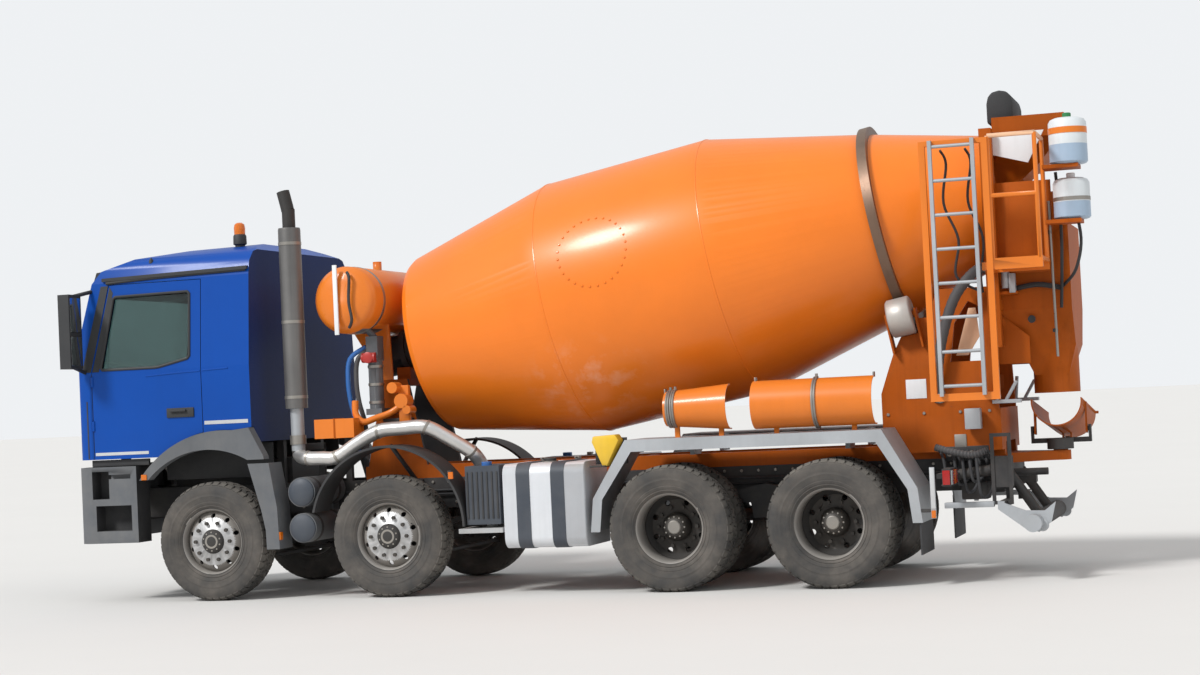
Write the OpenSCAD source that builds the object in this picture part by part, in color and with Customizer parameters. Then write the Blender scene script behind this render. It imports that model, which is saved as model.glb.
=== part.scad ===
// Concrete mixer truck with four axles, cab over engine, inclined drum, feed hopper and swivelling chute.
// X runs along the truck with the cab at -X, Z is up and the left-hand side is -Y. Sizes in millimetres.

/* [Truck] */
// Distance from the bumper face to the first axle
front_overhang = 1420; // [1410:10:1430]
// Distance between the two steered axles
steer_gap = 1700; // [1690:10:1720]
// Distance from the second axle to the third
mid_gap = 2550; // [2530:10:2560]
// Distance between the two driven axles
drive_gap = 1350; // [1340:10:1360]

/* [Wheels] */
// Radius of every tyre
tyre_r = 530; // [520:1:535]
// Width of every tyre
tyre_w = 300; // [290:2:306]
// Distance from the middle of the truck to a front tyre's centre
front_track_half = 1035; // [1030:1:1045]
// Distance from the middle of the truck to the middle of a twin wheel
rear_track_half = 910; // [905:1:915]
// Distance between the two tyres of a twin wheel
twin_gap = 350; // [345:1:356]
// Radius on which a tyre sits on its rim
seat_r = 286; // [282:1:290]
// Distance from the middle of the truck to the steering pins
kingpin_half = 835; // [832:1:838]
// Number of wheel nuts
nut_count = 10; // [8:1:10]
// Radius of the wheel nut circle
nut_circle_r = 168; // [160:1:172]

/* [Chassis] */
// Outer width of the frame
frame_w = 870; // [860:2:880]
// Height of a frame rail
rail_h = 270; // [250:5:280]
// Height of the top of the rails above the ground
rail_top = 1000; // [995:1:1005]
// Width of a rail's flange
flange_w = 80; // [70:1:85]
// Thickness of the frame steel
steel_t = 12; // [8:1:14]
// Height of the upper frame under the drum
upper_h = 120; // [110:5:125]

/* [Drum] */
// Distance from the first axle to the centre of the drum's front edge
drum_x = 1805; // [1795:5:1815]
// Height of the centre of the drum's front edge
drum_z = 2208; // [2200:1:2220]
// Upward tilt of the drum axis towards the rear in degrees
drum_tilt = 10.75; // [10.5:0.05:11]
// Radius of the drum's front edge
drum_front_r = 817; // [800:1:830]
// Radius of the drum's middle
drum_mid_r = 1143; // [1130:1:1150]
// Radius of the drum under the track ring
drum_ring_r = 809; // [800:1:815]
// Radius of the drum's mouth
mouth_r = 520; // [510:1:524]
// Distance along the axis to the first seam
seam_1 = 1418; // [1400:2:1430]
// Distance along the axis to the second seam
seam_2 = 2911; // [2900:1:2920]
// Distance along the axis to the track ring
ring_at = 4291; // [4280:1:4300]
// Distance along the axis to the mouth
mouth_at = 5300; // [5280:1:5310]
// Thickness of the drum's wall
drum_wall = 16; // [12:1:18]
// Radial height of the track ring
ring_h = 60; // [50:1:64]
// Width of the track ring
ring_w = 80; // [70:1:90]
// Radius of a drum roller
roller_r = 160; // [155:1:165]
// Width of a drum roller
roller_w = 200; // [180:2:210]
// Sideways distance of a roller from the middle
roller_half = 620; // [615:1:625]

/* [Cab] */
// Width of the cab
cab_w = 2300; // [2290:2:2310]
// Distance from the first axle to the cab's back wall
cab_rear = 430; // [420:1:440]
// Height of the cab's lower edge
cab_low = 1300; // [1295:1:1305]
// Height of the underside of the cab floor
floor_z = 1400; // [1395:1:1405]
// Height of the roof's crown
roof_z = 3210; // [3200:1:3225]
// Thickness of the cab's walls and doors
cab_wall = 50; // [44:1:54]
// Gap around the doors
door_gap = 6; // [5.5:0.5:8]
// Thickness of the glass
glass_t = 8; // [6:1:10]
// How far the grille and bumper stand in front of the cab's panel
grille_t = 15; // [12:1:20]

/* [Hopper and chute] */
// Height of the feed hopper's rim
hopper_top = 3800; // [3790:5:3810]
// Half width of the feed hopper
hopper_half = 520; // [500:5:540]
// Height of the discharge funnel's outlet
outlet_z = 1506; // [1504:1:1512]
// Distance from the first axle to the chute's swivel axis
swivel_x = 7360; // [7355:1:7365]
// Radius of the chute's trough
trough_r = 210; // [200:1:215]
// Length of the chute
chute_len = 1300; // [1250:10:1320]
// Thickness of hopper, funnel and chute plates
plate_t = 10; // [8:1:12]

/* [Towing] */
// Radius of the holes for the towing pins
tow_r = 20; // [18:1:22]
// Height of the rear towing eye
tow_z = 790; // [780:1:800]
// Height of the front towing eye
tow_front_z = 720; // [710:1:730]

/* [Rear] */
// Distance from the first axle to the working platform's rear edge
platform_end = 7420; // [7415:1:7425]
// Gap between the platform and the upper canister
canister_gap = 50; // [45:1:55]
// Radius of a canister
canister_r = 155; // [150:1:158]
// Number of ladder rungs
rung_count = 8; // [7:1:9]
// Height of the working platform
platform_z = 2600; // [2595:1:2610]
// Radius of the water tank
water_r = 300; // [290:1:304]

/* [Fits] */
// Clearance of a running fit on the radius
run_fit = 0.5; // [0.4:0.1:0.6]
// Gap between a roller and its track ring
roller_gap = 5.5; // [5:0.5:6]

/* [Hidden] */
canister_at = platform_end + canister_gap + canister_r;
overall_length = front_overhang + canister_at + canister_r;
front_x = -overall_length / 2;
axle_1_x = front_x + front_overhang;
axle_2_x = axle_1_x + steer_gap;
axle_3_x = axle_2_x + mid_gap;
axle_4_x = axle_3_x + drive_gap;
bogie_x = (axle_3_x + axle_4_x) / 2;
drum_x0 = axle_1_x + drum_x;
cab_rear_x = axle_1_x + cab_rear;
cab_front_x = front_x + grille_t;
// Half width that the cuts through the cab's sides and the arches pass
cut_half = cab_w / 2 + 150;
upper_top = rail_top + upper_h;
pivot_x = front_x + 110;
pivot_z = 1200;
pivot_r = 15;
guard_z = 480;
ring_out_r = drum_ring_r + ring_h;
roller_dist = ring_out_r + roller_gap + roller_r;
roller_down = sqrt(roller_dist * roller_dist - roller_half * roller_half);
swivel_at = axle_1_x + swivel_x;
orange = [0.93, 0.42, 0.08];
blue = [0.04, 0.16, 0.55];
grey = [0.33, 0.35, 0.37];
dark = [0.12, 0.12, 0.13];
steel = [0.6, 0.6, 0.58];
alu = [0.8, 0.81, 0.82];

// Position along the truck measured rearwards from the first axle
function at(x) = axle_1_x + x;

// A box given by its limits
module block(x0, x1, y0, y1, z0, z1) {
  translate([x0, y0, z0]) cube([x1 - x0, y1 - y0, z1 - z0]);
}

// A round bar across the truck
module bar_y(x, z, r, y0, y1) {
  translate([x, y1, z]) rotate([90, 0, 0]) cylinder(r = r, h = y1 - y0, $fn = 64);
}

// A round bar along the truck
module bar_x(y, z, r, x0, x1) {
  translate([x0, y, z]) rotate([0, 90, 0]) cylinder(r = r, h = x1 - x0, $fn = 64);
}

// An upright round bar
module bar_z(x, y, r, z0, z1) {
  translate([x, y, z0]) cylinder(r = r, h = z1 - z0, $fn = 64);
}

// A round bar from one point to another
module rod(p, q, r) {
  d = q - p;
  len = norm(d);
  translate(p) rotate([0, acos(d[2] / len), atan2(d[1], d[0])]) cylinder(r = r, h = len, $fn = 48);
}

// A side profile in X and Z drawn through the width from y0 to y1
module side_plate(y0, y1, pts) {
  translate([0, y1, 0]) rotate([90, 0, 0]) linear_extrude(height = y1 - y0) polygon(pts);
}

// Draws children made for the left side on the left and on the right
module both_sides() {
  children();
  mirror([0, 1, 0]) children();
}

// Draws children made for the left side on one side only
module on_side(s) {
  if (s < 0) children();
  if (s > 0) mirror([0, 1, 0]) children();
}

// Moves children so that their Z is the drum's axis and their X points down
module on_drum_axis() {
  translate([drum_x0, 0, drum_z]) rotate([0, 90 - drum_tilt, 0]) children();
}

// One tyre turned about a wheel axis at y = c of the wheel's own frame
module tyre_ring(c) {
  h = tyre_w / 2;
  translate([0, 0, c]) rotate_extrude($fn = 96)
    polygon([[seat_r, -111], [seat_r + 20, -111], [seat_r + 20, -h * 0.86], [tyre_r * 0.65, -h * 0.96],
      [tyre_r * 0.76, -h], [tyre_r * 0.87, -h * 0.98], [tyre_r * 0.955, -h * 0.88],
        [tyre_r * 0.99, -h * 0.74],
      [tyre_r, -h * 0.4], [tyre_r, h * 0.4], [tyre_r * 0.99, h * 0.74], [tyre_r * 0.955, h * 0.88],
      [tyre_r * 0.87, h * 0.98], [tyre_r * 0.76, h], [tyre_r * 0.65, h * 0.96], [seat_r + 20, h * 0.86],
      [seat_r + 20, 111], [seat_r, 111]]);
}

// Places a left-hand wheel's own frame, its Z outwards, at an axle
module at_wheel(x, y) {
  translate([x, -y, tyre_r]) rotate([90, 0, 0]) children();
}

// Single tyre of a steered wheel
module tyre(x, s) {
  color(dark) on_side(s) at_wheel(x, front_track_half) tyre_ring(0);
}

// Twin tyres of a driven wheel
module tyres(x, s) {
  color(dark) on_side(s) at_wheel(x, rear_track_half) {
    tyre_ring(twin_gap / 2);
    tyre_ring(-twin_gap / 2);
  }
}

// Barrel of a rim with its two flanges
module barrel(c) {
  translate([0, 0, c]) rotate_extrude($fn = 96)
    polygon([[seat_r, -112], [seat_r + 17, -112], [seat_r + 17, -122], [seat_r + 6, -122],
      [seat_r - 12, -100],
      [seat_r - 12, 100], [seat_r + 6, 122], [seat_r + 17, 122], [seat_r + 17, 112], [seat_r, 112]]);
}

// Ring of wheel nuts standing on a disc
module nuts(z, h) {
  for (i = [0:nut_count - 1])
    rotate([0, 0, i * 360 / nut_count]) translate([nut_circle_r, 0, z]) cylinder(r = 17, h = h, $fn = 6);
}

// Rim, hub and brake disc of a steered wheel
module rim(x, s) {
  color(alu) on_side(s) at_wheel(x, front_track_half) difference() {
    union() {
      barrel(0);
      rotate_extrude($fn = 96)
        polygon([[0, 62], [78, 62], [78, 84], [200, 84], [240, 50], [seat_r - 12, 20], [seat_r - 12, 38],
          [248, 66], [208, 102], [110, 106], [96, 128], [70, 140], [0, 140]]);
      nuts(100, 28);
      rotate_extrude($fn = 96)
        polygon([[40, -48], [215, -48], [215, -80], [40, -80]]);
      translate([0, 0, -84]) cylinder(r = 80, h = 160, $fn = 64);
    }
    translate([0, 0, -130]) cylinder(r = spindle_r + run_fit, h = 210, $fn = 64);
    for (i = [0:9]) rotate([0, 0, i * 36 + 18]) translate([228, 0, 0]) cylinder(r = 21, h = 160, $fn = 32);
  }
}

// Twin rims with their common disc, hub and brake drum
module rims(x, s) {
  color(steel) on_side(s) at_wheel(x, rear_track_half) difference() {
    union() {
      barrel(twin_gap / 2);
      barrel(-twin_gap / 2);
      rotate_extrude($fn = 96)
        polygon([[100, -14], [226, -14], [seat_r - 22, -62], [seat_r - 10, -76], [seat_r - 10, -60],
          [seat_r - 12, -54], [242, 0], [seat_r - 12, 54], [seat_r - 10, 60], [seat_r - 10, 76],
          [seat_r - 22, 62], [226, 14], [100, 14]]);
      nuts(12, 34);
      rotate_extrude($fn = 96)
        polygon([[0, 0], [120, 0], [120, 70], [100, 120], [70, 150], [0, 150]]);
      rotate_extrude($fn = 96)
        polygon([[spindle_r, -5], [205, -20], [205, -225], [190, -225], [190, -60], [120, -40],
          [spindle_r, -40]]);
      translate([0, 0, -120]) cylinder(r = 85, h = 125, $fn = 64);
    }
    translate([0, 0, -250]) cylinder(r = spindle_r + run_fit, h = 300, $fn = 64);
    for (i = [0:7]) rotate([0, 0, i * 45 + 22.5]) translate([212, 0, -90])
      cylinder(r = 24, h = 180, $fn = 32);
  }
}

// Radius of the stub axles that carry the wheels
spindle_r = 45;
// Radius of the steering pins
kingpin_r = 25;
// Place of the track rod's pin behind the steering pin and its radius
arm_reach = 260;
arm_pin_r = 14;
// Distance from the middle of the truck to the outer face of a knuckle
knuckle_face = 944;

// Steering knuckle with stub axle, brake caliper and steering arm
module knuckle(x, s) {
  color(steel) on_side(s) {
    translate([x, -kingpin_half, tyre_r]) {
      difference() {
        union() {
          translate([0, 0, -150]) cylinder(r = 52, h = 300, $fn = 64);
          block(-50, 50, kingpin_half - knuckle_face, 0, -150, 150);
        }
        block(-70, 70, -45, 70, -65, 65);
      }
      translate([0, 0, -140]) cylinder(r = kingpin_r, h = 280, $fn = 48);
    }
    translate([x, -front_track_half, tyre_r]) {
      block(-60, 60, 95, 115, 140, 250);
      block(-60, 60, 15, 115, 228, 250);
      block(-60, 60, 15, 38, 140, 250);
    }
    bar_y(x, tyre_r, spindle_r, -front_track_half - 70, -kingpin_half - 50);
    block(x - 40, x + arm_reach + 30, -kingpin_half - 30, 30 - kingpin_half, tyre_r - 150, tyre_r - 116);
    bar_z(x + arm_reach, -kingpin_half, arm_pin_r, tyre_r - 200, tyre_r - 140);
  }
}

// Track rod that joins the two steering arms of an axle
module tie_rod(x) {
  color(dark) difference() {
    union() {
      bar_y(x + arm_reach, tyre_r - 182, 20, -kingpin_half, kingpin_half);
      both_sides() bar_z(x + arm_reach, -kingpin_half, 30, tyre_r - 206, tyre_r - 157);
    }
    both_sides() bar_z(x + arm_reach, -kingpin_half, arm_pin_r + run_fit, tyre_r - 230, tyre_r - 140);
  }
}

// Frame rails, cross members, cab bearings, towing eyes and underride guard
module chassis_frame() {
  low = rail_top - rail_h;
  color(dark) {
    both_sides() difference() {
      block(at(-1360), at(6950), -frame_w / 2, -frame_w / 2 + flange_w, low, rail_top);
      block(at(-1370), at(6960), -frame_w / 2 + steel_t, -frame_w / 2 + flange_w + 1, low + steel_t,
        rail_top - steel_t);
    }
    for (x = [-950, 1250, 2600, 3700, 4925, 6200, 6850])
      block(at(x) - 50, at(x) + 50, -frame_w / 2 + steel_t, frame_w / 2 - steel_t, rail_top - 200,
        rail_top - 60);
    both_sides() {
      block(at(6940), at(7000), -frame_w / 2 - 15, -340, low, rail_top);
      rod([at(7220), -400, guard_z], [at(6975), -400, 860], 40);
      block(pivot_x - 35, pivot_x + 55, -frame_w / 2 - 45, -frame_w / 2, low, pivot_z + 28);
      bar_y(pivot_x, pivot_z, pivot_r, -frame_w / 2 - 85, -frame_w / 2 - 10);
      block(at(320), at(390), -frame_w / 2, -frame_w / 2 + 60, rail_top, floor_z - 6);
    }
    block(at(6940), at(7000), -frame_w / 2, frame_w / 2, low, rail_top - 60);
    difference() {
      block(at(6990), at(7150), -60, 60, tow_z - 30, tow_z + 30);
      bar_z(at(7100), 0, tow_r, tow_z - 40, tow_z + 40);
    }
    block(front_x + 130, front_x + 190, -frame_w / 2 + steel_t, frame_w / 2 - steel_t, tow_front_z - 30,
      rail_top - 60);
    difference() {
      block(front_x + 25, front_x + 190, -45, 45, tow_front_z - 30, tow_front_z + 30);
      bar_z(front_x + tow_in, 0, tow_r, tow_front_z - 40, tow_front_z + 40);
    }
    bar_y(at(7220), guard_z, 70, -1100, 1100);
    both_sides() {
      side_plate(-930, -905, [[at(6930), 660], [at(7150), 575], [at(7300), 570], [at(7390), 640],
        [at(7350), 480],
        [at(7250), 400], [at(7140), 430], [at(6930), 590]]);
      block(at(6940), at(6985), -930, -380, 600, 655);
      block(at(6940), at(6985), -440, -380, 640, 760);
    }
    for (x = [6870, 7010]) block(at(x), at(x) + 28, -770, -742, 620, 1200);
    for (z = [620, 1172]) block(at(6870), at(7038), -770, -742, z, z + 28);
    block(at(6878), at(7030), -760, -600, 760, 1010);
    block(at(6870), at(6900), -742, -430, 880, 930);
  }
}

// Distance of the front towing eye's hole behind the bumper's face
tow_in = 92;

// Engine and gearbox as one plain block under the cab
module engine_block() {
  color(grey) {
    block(at(-780), at(420), -330, 330, 640, 1230);
    block(at(420), at(1120), -210, 210, 560, 940);
    both_sides() block(at(-420), at(-300), -frame_w / 2 + steel_t, -320, 820, 940);
  }
}

// Beam axles of the steered wheels and housings of the driven ones, with springs and propeller shafts
module axles() {
  color(dark) {
    for (x = [axle_1_x, axle_2_x]) {
      difference() {
        union() {
          both_sides() {
            bar_z(x, -kingpin_half, 36, tyre_r - 60, tyre_r + 60);
            block(x - 34, x + 34, -kingpin_half, -640, tyre_r - 60, tyre_r + 60);
            side_plate(-660, -470, [[x - 50, tyre_r - 130], [x + 50, tyre_r - 130], [x + 50, tyre_r + 60],
              [x - 50, tyre_r + 60]]);
            steer_spring(x);
          }
          block(x - 55, x + 55, -480, 480, tyre_r - 130, tyre_r - 20);
        }
        both_sides() bar_z(x, -kingpin_half, kingpin_r + run_fit, tyre_r - 70, tyre_r + 70);
      }
    }
    for (x = [axle_3_x, axle_4_x]) {
      bar_y(x, tyre_r, 80, -rear_track_half + 240, rear_track_half - 240);
      both_sides() bar_y(x, tyre_r, spindle_r, -rear_track_half - 40, -rear_track_half + 260);
      both_sides() block(x - 60, x + 60, -545, -450, tyre_r, tyre_r + 85);
      translate([x, -130, tyre_r]) rotate([-90, 0, 0]) rotate_extrude($fn = 64)
        polygon([[0, 0], [150, 0], [215, 60], [215, 200], [150, 260], [0, 260]]);
      bar_x(0, tyre_r + 30, 90, x - 320, x);
    }
    both_sides() bogie_spring();
    bar_x(0, tyre_r + 30, 55, at(1120), axle_3_x - 320);
    bar_x(0, tyre_r + 30, 55, axle_3_x, axle_4_x - 320);
  }
}

// Leaf spring of a steered axle, up to the underside of the frame
module steer_spring(x) {
  low = rail_top - rail_h;
  side_plate(-450, -370, [[x - 620, low - 10], [x - 300, 620], [x, 570], [x + 300, 620], [x + 620, low - 10],
    [x + 620, low - 40], [x + 300, 575], [x + 110, 505], [x - 110, 505], [x - 300, 575],
      [x - 620, low - 40]]);
  block(x - 640, x - 590, -440, -380, low - 45, low);
  block(x + 590, x + 640, -440, -380, low - 45, low);
}

// Leaf spring of the driven axles on its trunnion
module bogie_spring() {
  side_plate(-545, -450, [[axle_3_x - 60, 640], [bogie_x - 300, 790], [bogie_x, 850], [bogie_x + 300, 790],
    [axle_4_x + 60, 640], [axle_4_x + 60, 610], [bogie_x + 300, 700], [bogie_x + 90, 690],
    [bogie_x - 90, 690], [bogie_x - 300, 700], [axle_3_x - 60, 610]]);
  side_plate(-545, -frame_w / 2, [[bogie_x - 110, 560], [bogie_x + 110, 560], [bogie_x + 140, 760],
    [bogie_x - 140, 760]]);
}

// Outline of the cab from above
module plan(inset) {
  hw = cab_w / 2 - inset;
  r = 220 - inset;
  intersection() {
    translate([cab_front_x + 6000, 0]) circle(r = 6000 - inset, $fn = 200);
    union() {
      translate([cab_front_x + inset + r, -hw]) square([cab_rear_x - cab_front_x - 2 * inset - r, 2 * hw]);
      translate([cab_front_x + inset, -hw + r]) square([r + 1, 2 * hw - 2 * r]);
      for (s = [-1, 1]) translate([cab_front_x + inset + r, s * (hw - r)]) circle(r = r, $fn = 64);
    }
  }
}

// Solid form of the cab, drawn in by a distance from its outer surface
module cab_form(inset, low) {
  intersection() {
    translate([0, 0, low]) linear_extrude(height = 2500) plan(inset);
    side_plate(-cut_half, cut_half, [[cab_front_x + inset, low], [cab_front_x + inset, 1960],
      [cab_front_x + 45 + inset, 2070],
      [cab_front_x + 250 + inset, 2900 - inset * 0.3], [cab_front_x + 340 + inset * 0.7, 3010 - inset * 0.7],
      [cab_front_x + 640, 3110 - inset], [cab_front_x + 1100, 3175 - inset],
        [cab_rear_x - 150, roof_z - inset],
      [cab_rear_x - inset, roof_z - 80 - inset * 0.4], [cab_rear_x - inset, low]]);
    translate([cab_front_x - 10, 0, 0]) rotate([90, 0, 90]) linear_extrude(height = 2200)
      polygon([[-cab_w / 2 + inset, low], [-cab_w / 2 + inset, 2090], [-cab_w / 2 + 70 + inset, 2900],
        [-cab_w / 2 + 95 + inset * 0.8, 3020 - inset * 0.3], [-cab_w / 2 + 180 + inset * 0.5, 3110 - inset],
        [-cab_w / 2 + 420, 3170 - inset], [-450, roof_z - inset], [450, roof_z - inset],
        [cab_w / 2 - 420, 3170 - inset], [cab_w / 2 - 180 - inset * 0.5, 3110 - inset],
        [cab_w / 2 - 95 - inset * 0.8, 3020 - inset * 0.3], [cab_w / 2 - 70 - inset, 2900],
        [cab_w / 2 - inset, 2090], [cab_w / 2 - inset, low]]);
  }
}

// Outline of a door, drawn out by a gap
module door_outline(y0, y1, g) {
  side_plate(y0, y1, [[at(-1150) - g, cab_low - g * 3], [at(-1150) - g, 2080], [at(-975) - g, 2880 + g],
    [at(-50) + g, 2880 + g], [at(-50) + g, cab_low - g * 3]]);
}

// Outline of a door window
module window_outline(y0, y1) {
  side_plate(y0, y1, [[at(-1060), 2110], [at(-930), 2770], [at(-160), 2780], [at(-160), 2180],
    [at(-480), 2110]]);
}

// Outline of the windscreen
module windscreen_outline(x0, x1, e) {
  translate([x0, 0, 0]) rotate([90, 0, 90]) linear_extrude(height = x1 - x0)
    polygon([[-cab_w / 2 + 140 + e, 2100 + e], [-cab_w / 2 + 200 + e, 2840 - e],
      [cab_w / 2 - 200 - e, 2840 - e],
      [cab_w / 2 - 140 - e, 2100 + e]]);
}

// Opening of the front wheel arch in the cab's sides
module arch_cut(r) {
  bar_y(arch_x, arch_z, r, -cut_half, -cab_w / 2 + cab_wall + 1);
  side_plate(-cut_half, -cab_w / 2 + cab_wall + 1, [[at(100), cab_low - 60], [at(100), arch_z + r - 20],
    [cab_rear_x + 10, arch_z + r + 16], [cab_rear_x + 10, cab_low - 60]]);
}

// Walls, roof and floor of the cab
module cab_shell() {
  color(blue) both_sides() difference() {
    union() {
      side_plate(-frame_w / 2 - 80, -frame_w / 2 - 50, [[pivot_x - 20, pivot_z + 5],
        [pivot_x + 10, pivot_z - 22],
        [pivot_x + 260, floor_z - 30], [pivot_x + 260, floor_z + 1], [pivot_x + 170, floor_z + 1]]);
      bar_y(pivot_x, pivot_z, 27, -frame_w / 2 - 80, -frame_w / 2 - 50);
    }
    bar_y(pivot_x, pivot_z, pivot_r + run_fit, -frame_w / 2 - 90, -frame_w / 2 - 40);
  }
  color(blue) difference() {
    cab_form(0, cab_low);
    cab_form(cab_wall, floor_z + 60);
    translate([0, 0, cab_low - 50]) linear_extrude(height = floor_z - cab_low + 50) plan(cab_wall);
    both_sides() door_outline(-cut_half, -cab_w / 2 + cab_wall + 110, door_gap);
    both_sides() hinge_barrels(1.5);
    block(front_x - 10, front_x + 130, -720, 720, cab_low - 10, cab_low + 40);
    windscreen_outline(front_x - 50, front_x + 500, 0);
    both_sides() arch_cut(arch_out_r);
    block(cab_rear_x - 200, cab_rear_x + 10, -1100, 1100, cab_low - 50, floor_z);
  }
}

// Centre, outer and inner radius of the arch trim over the front wheels
arch_x = axle_1_x + 150;
arch_z = 485;
arch_out_r = 1035;
arch_in_r = 820;
// How far the arch trims stand out of the cab's sides
arch_proud = 55;
// Places of the door hinges in height, their length and their radius
hinge_low = [1560, 1960];
hinge_len = 90;
hinge_r = 13;

// Barrels of the hinges of a left-hand door, drawn out by a gap
module hinge_barrels(g) {
  for (z = hinge_low) bar_z(at(-1150), -cab_w / 2, hinge_r + g, z - g * 4, z + hinge_len + g * 4);
}

// One door with its window opening
module door(s) {
  color(blue) on_side(s) difference() {
    union() {
      intersection() {
        difference() {
          cab_form(0, cab_low);
          cab_form(cab_wall, cab_low - 100);
        }
        door_outline(-cut_half, -900, 0);
      }
      hinge_barrels(0);
    }
    window_outline(-cut_half, -900);
    arch_cut(arch_out_r + door_gap);
  }
}

// Glass of one door
module door_glass(s) {
  color([0.3, 0.4, 0.45]) on_side(s) intersection() {
    difference() {
      cab_form(20, cab_low);
      cab_form(20 + glass_t, cab_low - 100);
    }
    window_outline(-cut_half, -900);
  }
}

// Windscreen glass
module windscreen() {
  color([0.3, 0.4, 0.45]) intersection() {
    difference() {
      cab_form(15, cab_low);
      cab_form(15 + glass_t, cab_low - 100);
    }
    windscreen_outline(front_x - 50, front_x + 420, 0);
  }
}

// Arch trims, sun visor, grille, mirrors, roof strips and beacon
module cab_trim() {
  color(grey) {
    both_sides() difference() {
      union() {
        bar_y(arch_x, arch_z, arch_out_r - 3, -cab_w / 2 - arch_proud, -cab_w / 2 + cab_wall + 0.7);
        side_plate(-cab_w / 2 - arch_proud, -cab_w / 2 + cab_wall + 0.7, [[at(110), 1245],
          [at(110), arch_z + arch_out_r - 22],
          [cab_rear_x - 5, arch_z + arch_out_r + 11], [at(560), 1275], [at(340), 1245]]);
      }
      bar_y(axle_1_x, tyre_r, arch_in_r, -cut_half, 0);
      block(at(-1400), at(200), -cut_half, 0, -700, 1100);
      block(at(200), at(1400), -cut_half, 0, -700, 1245);
      side_plate(-cut_half, 0, [[cab_rear_x - 5, arch_z + arch_out_r + 11], [at(560), 1275], [at(570), 1200],
        [at(1400), 1200], [at(1400), 1700], [cab_rear_x - 5, 1700]]);
    }
    difference() {
      intersection() {
        translate([0, 0, 1340]) linear_extrude(height = 560) plan(-grille_t);
        block(front_x - 5, front_x + 100, -720, 720, 1330, 1910);
      }
      translate([0, 0, 1300]) linear_extrude(height = 640) plan(-0.3);
      for (i = [0:5]) block(front_x - 20, front_x + 120, -680, 680, 1385 + i * 88, 1425 + i * 88);
    }
    difference() {
      union() {
        side_plate(190 - cab_w / 2, cab_w / 2 - 190, [[at(-1255), 2790], [at(-1240), 2785],
          [at(-1150), 2985], [at(-1040), 2995],
          [at(-1040), 3022], [at(-1170), 3012]]);
        both_sides() side_plate(50 - cab_w / 2, 105 - cab_w / 2, [[at(-1040), 2915], [at(420), 2945],
          [at(420), 2975],
          [at(-1040), 2945]]);
        bar_z(at(120), -600, 62, 3100, 3290);
        bar_z(at(120), -600, 52, 3280, 3410);
        both_sides() {
          block(at(-1290), at(-1180), -cab_w / 2 - 300, -cab_w / 2 - 90, 2130, 2800);
          rod([at(-1235), -cab_w / 2 - 180, 2780], [at(-1140), 150 - cab_w / 2, 2850], 18);
          rod([at(-1235), -cab_w / 2 - 180, 2150], [at(-1210), 100 - cab_w / 2, 2070], 18);
        }
      }
      cab_form(-0.3, cab_low);
    }
  }
}

// Seats, dashboard and steering wheel
module cab_interior() {
  color(dark) {
    for (y = [-620, 620]) {
      block(at(-560), at(-40), y - 240, y + 240, floor_z + 60, floor_z + 420);
      side_plate(y - 240, y + 240, [[at(-130), floor_z + 420], [at(-10), floor_z + 420],
        [at(110), floor_z + 1150],
        [at(20), floor_z + 1150]]);
    }
    intersection() {
      side_plate(90 - cab_w / 2, cab_w / 2 - 90, [[at(-1380), floor_z + 60], [at(-1380), 2050],
        [at(-1020), 2080], [at(-900), 1980], [at(-900), 1850], [at(-1080), 1700], [at(-1080), floor_z + 60]]);
      cab_form(cab_wall + 0.3, floor_z + 60);
    }
    translate([at(-790), -620, 2060]) rotate([0, -25, 0]) rotate_extrude($fn = 64)
      translate([225, 0]) circle(r = 16, $fn = 24);
    rod([at(-950), -620, 1900], [at(-790), -620, 2060], 25);
    translate([at(-790), -620, 2060]) rotate([0, -25, 0]) {
      translate([-225, -20, -8]) cube([450, 40, 16]);
      translate([-20, -225, -8]) cube([40, 450, 16]);
    }
  }
}

// Bumper with entry steps, open for the towing eye and the head lamps
module bumper() {
  color(grey) difference() {
    intersection() {
      translate([0, 0, 540]) linear_extrude(height = 690) plan(-grille_t);
      block(front_x - 5, at(-730), -cab_w / 2 - 50, cab_w / 2 + 50, 530, 1240);
    }
    block(front_x + 60, at(-720), 220 - cab_w / 2, cab_w / 2 - 220, 500, 1300);
    block(front_x - 10, front_x + 110, -120, 120, tow_front_z - 80, tow_front_z + 80);
    both_sides() {
      block(at(-1150), at(-790), -cut_half, 140 - cab_w / 2, 650, 880);
      block(at(-1180), at(-1010), -cut_half, 140 - cab_w / 2, 940, 1190);
      block(at(-1050), at(-790), -cut_half, 30 - cab_w / 2, 1120, 1160);
      lamp_place(0);
    }
  }
}

// Place of a head lamp, drawn in by a margin
module lamp_place(e) {
  block(front_x - 20, front_x + 200, 170 - cab_w / 2 + e, 430 - cab_w / 2 - e, 800 + e, 930 - e);
}

// Flaps behind the first axle and arches over the second
module front_mudguards() {
  color(dark) both_sides() {
    side_plate(-1220, -960, [[at(585), 1210], [at(650), 800], [at(665), 450], [at(690), 450], [at(680), 810],
      [at(615), 1210]]);
    side_plate(-1220, -1195, [[at(410), 1210], [at(525), 800], [at(562), 620], [at(566), 450],
      [at(680), 450],
      [at(670), 810], [at(605), 1210]]);
    block(at(560), at(600), -980, -frame_w / 2, 930, 970);
    difference() {
      bar_y(at(1720), 600, 720, -1225, -890);
      bar_y(at(1720), 600, 700, -cut_half, 0);
      block(at(800), at(2600), -cut_half, 0, -200, 600);
      block(at(800), at(1120), -cut_half, 0, 0, 760);
    }
    rod([at(1720), -1050, 1310], [at(1720), -frame_w / 2 - 15, 950], 20);
    block(at(1680), at(1760), -frame_w / 2 - 30, -frame_w / 2, 900, 990);
  }
}

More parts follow.
